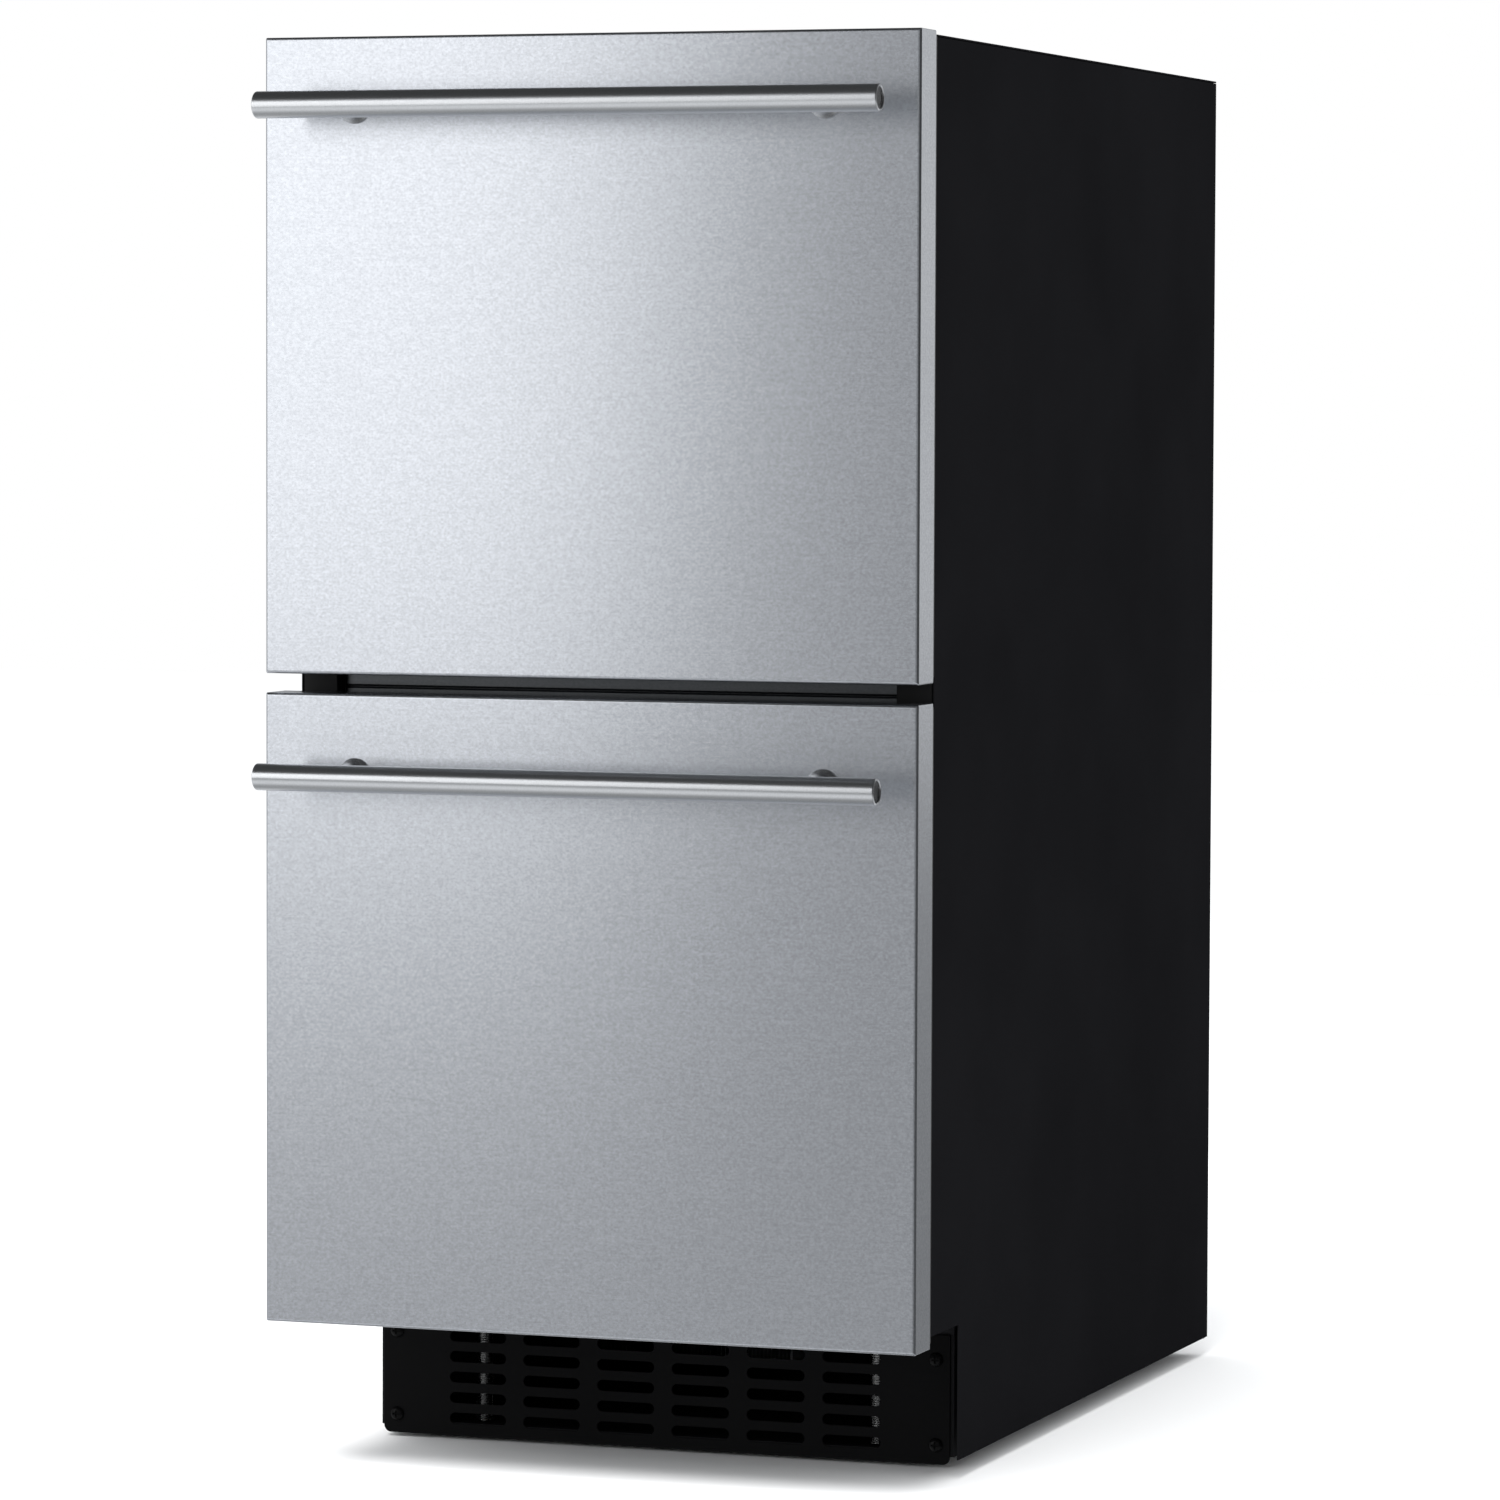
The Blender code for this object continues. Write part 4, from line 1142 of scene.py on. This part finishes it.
def screw_head(x, y, z, axis, sign, radius=0.0036, rise=0.0016):
    """Low pan head with a crossed recess; `sign` is the way it looks along `axis`."""
    def h(v):
        return (y if axis == 1 else z) + sign * v

    centre = (x, z) if axis == 1 else (x, y)
    bm_ = lathe(
        [
            (0, h(0.0)), (radius, h(0.0)), (radius, h(rise * 0.25)),
            (radius * 0.93, h(rise * 0.65)), (radius * 0.7, h(rise * 0.92)),
            (radius * 0.35, h(rise)), (0, h(rise)),
        ],
        centre, axis, 32,
    )
    for a, b in ((radius * 0.55, 0.00035), (0.00035, radius * 0.55)):
        span = sorted((h(rise * 0.45), h(rise * 1.6)))
        if axis == 1:
            tool = block((x - a, x + a), span, (z - b, z + b))
        else:
            tool = block((x - a, x + a), (y - b, y + b), span)
        bm_ = carved(bm_, tool)
    return bm_


heads = []
for z in (low.z + 0.012, (low.z + high.z) / 2, high.z - 0.012):
    for x in (low.x + 0.010, high.x - 0.010):
        heads.append(screw_head(x, back_y, z, 1, 1))
g_low, g_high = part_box("rear_grille")
for z in (g_low.z + 0.012, (g_low.z + g_high.z) / 2, g_high.z - 0.010):
    for x in (g_low.x + 0.010, g_high.x - 0.010):
        heads.append(screw_head(x, g_high.y, z, 1, 1))
own("rear_screws", joined(*heads), STUD, body="cabinet", slot="back_panel", angle=40)


def bead(x0, x1, z0, z1, y, rise, slope):
    """Pressed plateau on a sheet that faces +Y."""
    loops_ = []
    for inset, lift in ((0, 0), (slope * 0.25, rise * 0.12), (slope * 0.75, rise * 0.88), (slope, rise)):
        loop = rounded_loop(x0 + inset, x1 - inset, z0 + inset, z1 - inset,
                            max(0.006, 0.014 - inset), 8)
        loops_.append([(a, y + lift, b) for a, b in loop])
    return bridged(loops_, cap_first=True, cap_last=True)


beads = [
    bead(low.x + 0.030, high.x - 0.030, low.z + 0.040 + i * 0.098, low.z + 0.040 + i * 0.098 + 0.066,
         back_y - 0.0002, 0.0014, 0.006)
    for i in range(4)
]
own("back_beads", joined(*beads), ZINC, body="cabinet", slot="back_panel", angle=50, weighted=True)

# Three contacts inside the inlet.
low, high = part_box("power_inlet")
mx, mz = (low.x + high.x) / 2, (low.z + high.z) / 2
pins = [
    block((mx + dx - 0.0020, mx + dx + 0.0020), (low.y + 0.0095, high.y - 0.0055),
          (mz + dz - 0.0009, mz + dz + 0.0009), 0.0004, 2)
    for dx, dz in ((-0.0065, -0.0022), (0.0065, -0.0022), (0.0, 0.0040))
]
own("inlet_pins", joined(*pins), BRASS, body="cabinet", slot="power_inlet")

# Top panel: pressed beads and pan-head fixings.
low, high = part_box("top_panel")
room = CAD_HIGH.z - high.z
tops = []
for x0, x1 in ((-0.150, -0.040), (0.040, 0.150)):
    loops = []
    for inset, lift in ((0, -0.0002), (0.0010, 0.0001), (0.0040, 0.0009), (0.0052, 0.0011)):
        loop = rounded_loop(x0 + inset, x1 - inset, low.y + 0.070 + inset, high.y - 0.070 - inset,
                            max(0.010, 0.022 - inset), 8)
        loops.append([(a, b, high.z + lift) for a, b in loop])
    tops.append(bridged(loops, cap_first=True, cap_last=True))
own("top_beads", joined(*tops), ENAMEL, body="cabinet", slot="top_panel", angle=50, weighted=True)
heads = [
    screw_head(x, y, high.z, 2, 1, 0.0034, min(0.0013, room - 0.0001))
    for x in (low.x + 0.012, high.x - 0.012)
    for y in (low.y + 0.018, (low.y + high.y) / 2, high.y - 0.014)
]
own("top_screws", joined(*heads), SCREW, body="cabinet", slot="top_panel", angle=40)

# Control pod in the roof of the cavity: opal lens and three keys.
low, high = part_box("control_box")
lens = block((-0.030, 0.030), (low.y + 0.022, high.y - 0.022), (low.z - 0.0010, low.z + 0.0010), 0.0009, 3)
own("cavity_lens", lens, LENS, body="cabinet", slot="control_box", weighted=True)
keys = [
    lathe(
        [(0, low.z - 0.0009), (0.0036, low.z - 0.0009), (0.0042, low.z - 0.0003),
         (0.0042, low.z + 0.0008), (0, low.z + 0.0008)],
        (dx, low.y + 0.013), 2, 32,
    )
    for dx in (-0.020, 0.0, 0.020)
]
own("cavity_keys", joined(*keys), DARK, body="cabinet", slot="control_box", angle=40)

# Ball cages in the slides.
for drawer in ("upper", "lower"):
    for side, sign in (("left", -1), ("right", 1)):
        low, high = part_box(f"slide_middle_{drawer}_{side}")
        wall_x = low.x if sign < 0 else high.x
        z_mid = (low.z + high.z) / 2
        z_reach = (high.z - low.z) / 2 - 0.0014 - 0.0016
        x = wall_x - sign * 0.0046
        balls = []
        spread = high.y - low.y - 0.04
        for level in (-1, 1):
            for k in range(12):
                y = low.y + 0.020 + spread * k / 11
                ball = bmesh.new()
                bmesh.ops.create_icosphere(ball, subdivisions=2, radius=0.0014)
                balls.append(shifted(ball, (x, y, z_mid + level * z_reach)))
            cage_z = z_mid + level * (z_reach - 0.0004)
            balls.append(
                block((x - 0.0005, x + 0.0005), (low.y + 0.012, high.y - 0.012),
                      (cage_z - 0.0010, cage_z + 0.0006), 0.0002, 1)
            )
        own(f"slide_balls_{drawer}_{side}", joined(*balls), STUD,
            body=f"middle_{drawer}_{side}", slot=f"slide_middle_{drawer}_{side}", angle=60)

# =============================================================== camera
YAW, PITCH, ROLL = math.radians(19.465), math.radians(3.115), math.radians(0.201)
ahead = Vector((-math.sin(YAW) * math.cos(PITCH), math.cos(YAW) * math.cos(PITCH), -math.sin(PITCH)))
level = Vector((math.cos(YAW), math.sin(YAW), 0.0))
upward = level.cross(ahead)
right = level * math.cos(ROLL) + upward * math.sin(ROLL)
upward = -level * math.sin(ROLL) + upward * math.cos(ROLL)
lens_data = bpy.data.cameras.new("camera")
lens_data.sensor_width = 36.0
lens_data.lens = 158.50
lens_data.clip_start = 0.1
lens_data.clip_end = 60.0
camera = bpy.data.objects.new("camera", lens_data)
camera.matrix_world = Matrix(
    (
        (right.x, upward.x, -ahead.x, 1.2639),
        (right.y, upward.y, -ahead.y, -3.5872),
        (right.z, upward.z, -ahead.z, 0.5914),
        (0, 0, 0, 1),
    )
)
bpy.context.scene.collection.objects.link(camera)
bpy.context.scene.camera = camera

# =============================================================== studio
floor_mesh = bmesh.new()
bmesh.ops.create_grid(floor_mesh, x_segments=8, y_segments=8, size=9.0)
mesh = bpy.data.meshes.new("floor")
floor_mesh.to_mesh(mesh)
floor_mesh.free()
floor = bpy.data.objects.new("floor", mesh)
floor.location = (0, 0, CAD_LOW.z - 0.0002)
bpy.context.scene.collection.objects.link(floor)
floor_look = Look("studio_floor", (0.93, 0.93, 0.93), 0.9, specular=0.0)
floor_look.vary_colour(floor_look.noise(3.0, 2.0), 0.004)
mesh.materials.append(floor_look.material)
floor.visible_glossy = False


def softbox(name, at, target, size, power, shape="RECTANGLE", glossy=True, spread=180):
    light = bpy.data.lights.new(name, "AREA")
    light.shape = shape
    light.size, light.size_y = size
    light.energy = power
    light.spread = math.radians(spread)
    obj = bpy.data.objects.new(name, light)
    at, target = Vector(at), Vector(target)
    obj.location = at
    obj.rotation_euler = (target - at).to_track_quat("-Z", "Y").to_euler()
    obj.visible_camera = False
    obj.visible_glossy = glossy
    bpy.context.scene.collection.objects.link(obj)
    return obj


FACE_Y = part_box("upper_front_skin")[0].y
softbox("key_left", (-1.215, FACE_Y - 1.5, 0.84), (0.0, FACE_Y, 0.55), (1.40, 1.25), 7.15)
softbox("rear_right", (0.80, 1.25, 0.88), (0.15, FACE_Y, 0.60), (0.8, 1.2), 1.02)
softbox("overhead", (-0.3, -1.5, 3.2), (0.0, -0.3, 0.0), (2.6, 2.2), 150.0, glossy=False)

world = bpy.data.worlds.new("studio")
bpy.context.scene.world = world
world.use_nodes = True
tree = world.node_tree
tree.nodes.clear()
output = tree.nodes.new("ShaderNodeOutputWorld")
pick = tree.nodes.new("ShaderNodeMixShader")
rays = tree.nodes.new("ShaderNodeLightPath")
plain = tree.nodes.new("ShaderNodeBackground")
plain.inputs["Color"].default_value = (1, 1, 1, 1)
plain.inputs["Strength"].default_value = 1.0
around = tree.nodes.new("ShaderNodeBackground")
coords = tree.nodes.new("ShaderNodeTexCoord")
split = tree.nodes.new("ShaderNodeSeparateXYZ")
tree.links.new(coords.outputs["Generated"], split.inputs["Vector"])


def wmath(operation, a, b=0.0, clamp=False):
    node = tree.nodes.new("ShaderNodeMath")
    node.operation = operation
    node.use_clamp = clamp
    for i, value in enumerate((a, b)):
        if isinstance(value, (int, float)):
            node.inputs[i].default_value = value
        else:
            tree.links.new(value, node.inputs[i])
    return node.outputs["Value"]


X, Y, Z = split.outputs
# Brightness round the room, as reflections see it: pale at eye level, brighter to the left,
# dim overhead, underfoot and hard to the right.
left = wmath("MULTIPLY", wmath("MAXIMUM", wmath("MULTIPLY", X, -1.0), 0.0), 0.29)
total = wmath("ADD", left, 0.328)
# a pale band above eye level, from 10 to 45 degrees up
rise = wmath("MULTIPLY", wmath("MAXIMUM", wmath("SUBTRACT", Z, 0.12), 0.0), 2.0, True)
total = wmath("ADD", total, wmath("MULTIPLY", rise, 0.10))
above = wmath("MULTIPLY", wmath("MAXIMUM", wmath("SUBTRACT", Z, 0.45), 0.0), 4.0)
hard_right = wmath("MULTIPLY", wmath("MAXIMUM", wmath("SUBTRACT", X, 0.50), 0.0), 1.2)
down = wmath("MULTIPLY", Z, -1.0)
dip = wmath("MULTIPLY", wmath("MAXIMUM", wmath("SUBTRACT", down, 0.05), 0.0), 0.9, True)
dip = wmath("MULTIPLY", wmath("MINIMUM", dip, 0.13), 1.0)
floor_glow = wmath("MULTIPLY", wmath("MAXIMUM", wmath("SUBTRACT", down, 0.20), 0.0), 3.6, True)
floor_glow = wmath("SUBTRACT", floor_glow, wmath("MULTIPLY", wmath("MAXIMUM", wmath("SUBTRACT", down, 0.72), 0.0), 5.0, True))
total = wmath("SUBTRACT", total, wmath("ADD", above, wmath("ADD", dip, hard_right)))
total = wmath("ADD", wmath("MAXIMUM", total, 0.05), wmath("MULTIPLY", floor_glow, 0.52))
around.inputs["Color"].default_value = (0.97, 0.985, 1.0, 1)
is_diffuse = rays.outputs["Is Diffuse Ray"]
even = wmath("MULTIPLY", is_diffuse, 1.18)
shaped = wmath("MULTIPLY", wmath("SUBTRACT", 1.0, is_diffuse), total)
tree.links.new(wmath("ADD", even, shaped), around.inputs["Strength"])
tree.links.new(rays.outputs["Is Camera Ray"], pick.inputs["Fac"])
tree.links.new(around.outputs["Background"], pick.inputs[1])
tree.links.new(plain.outputs["Background"], pick.inputs[2])
tree.links.new(pick.outputs["Shader"], output.inputs["Surface"])
bpy.context.scene.view_settings.view_transform = "Standard"
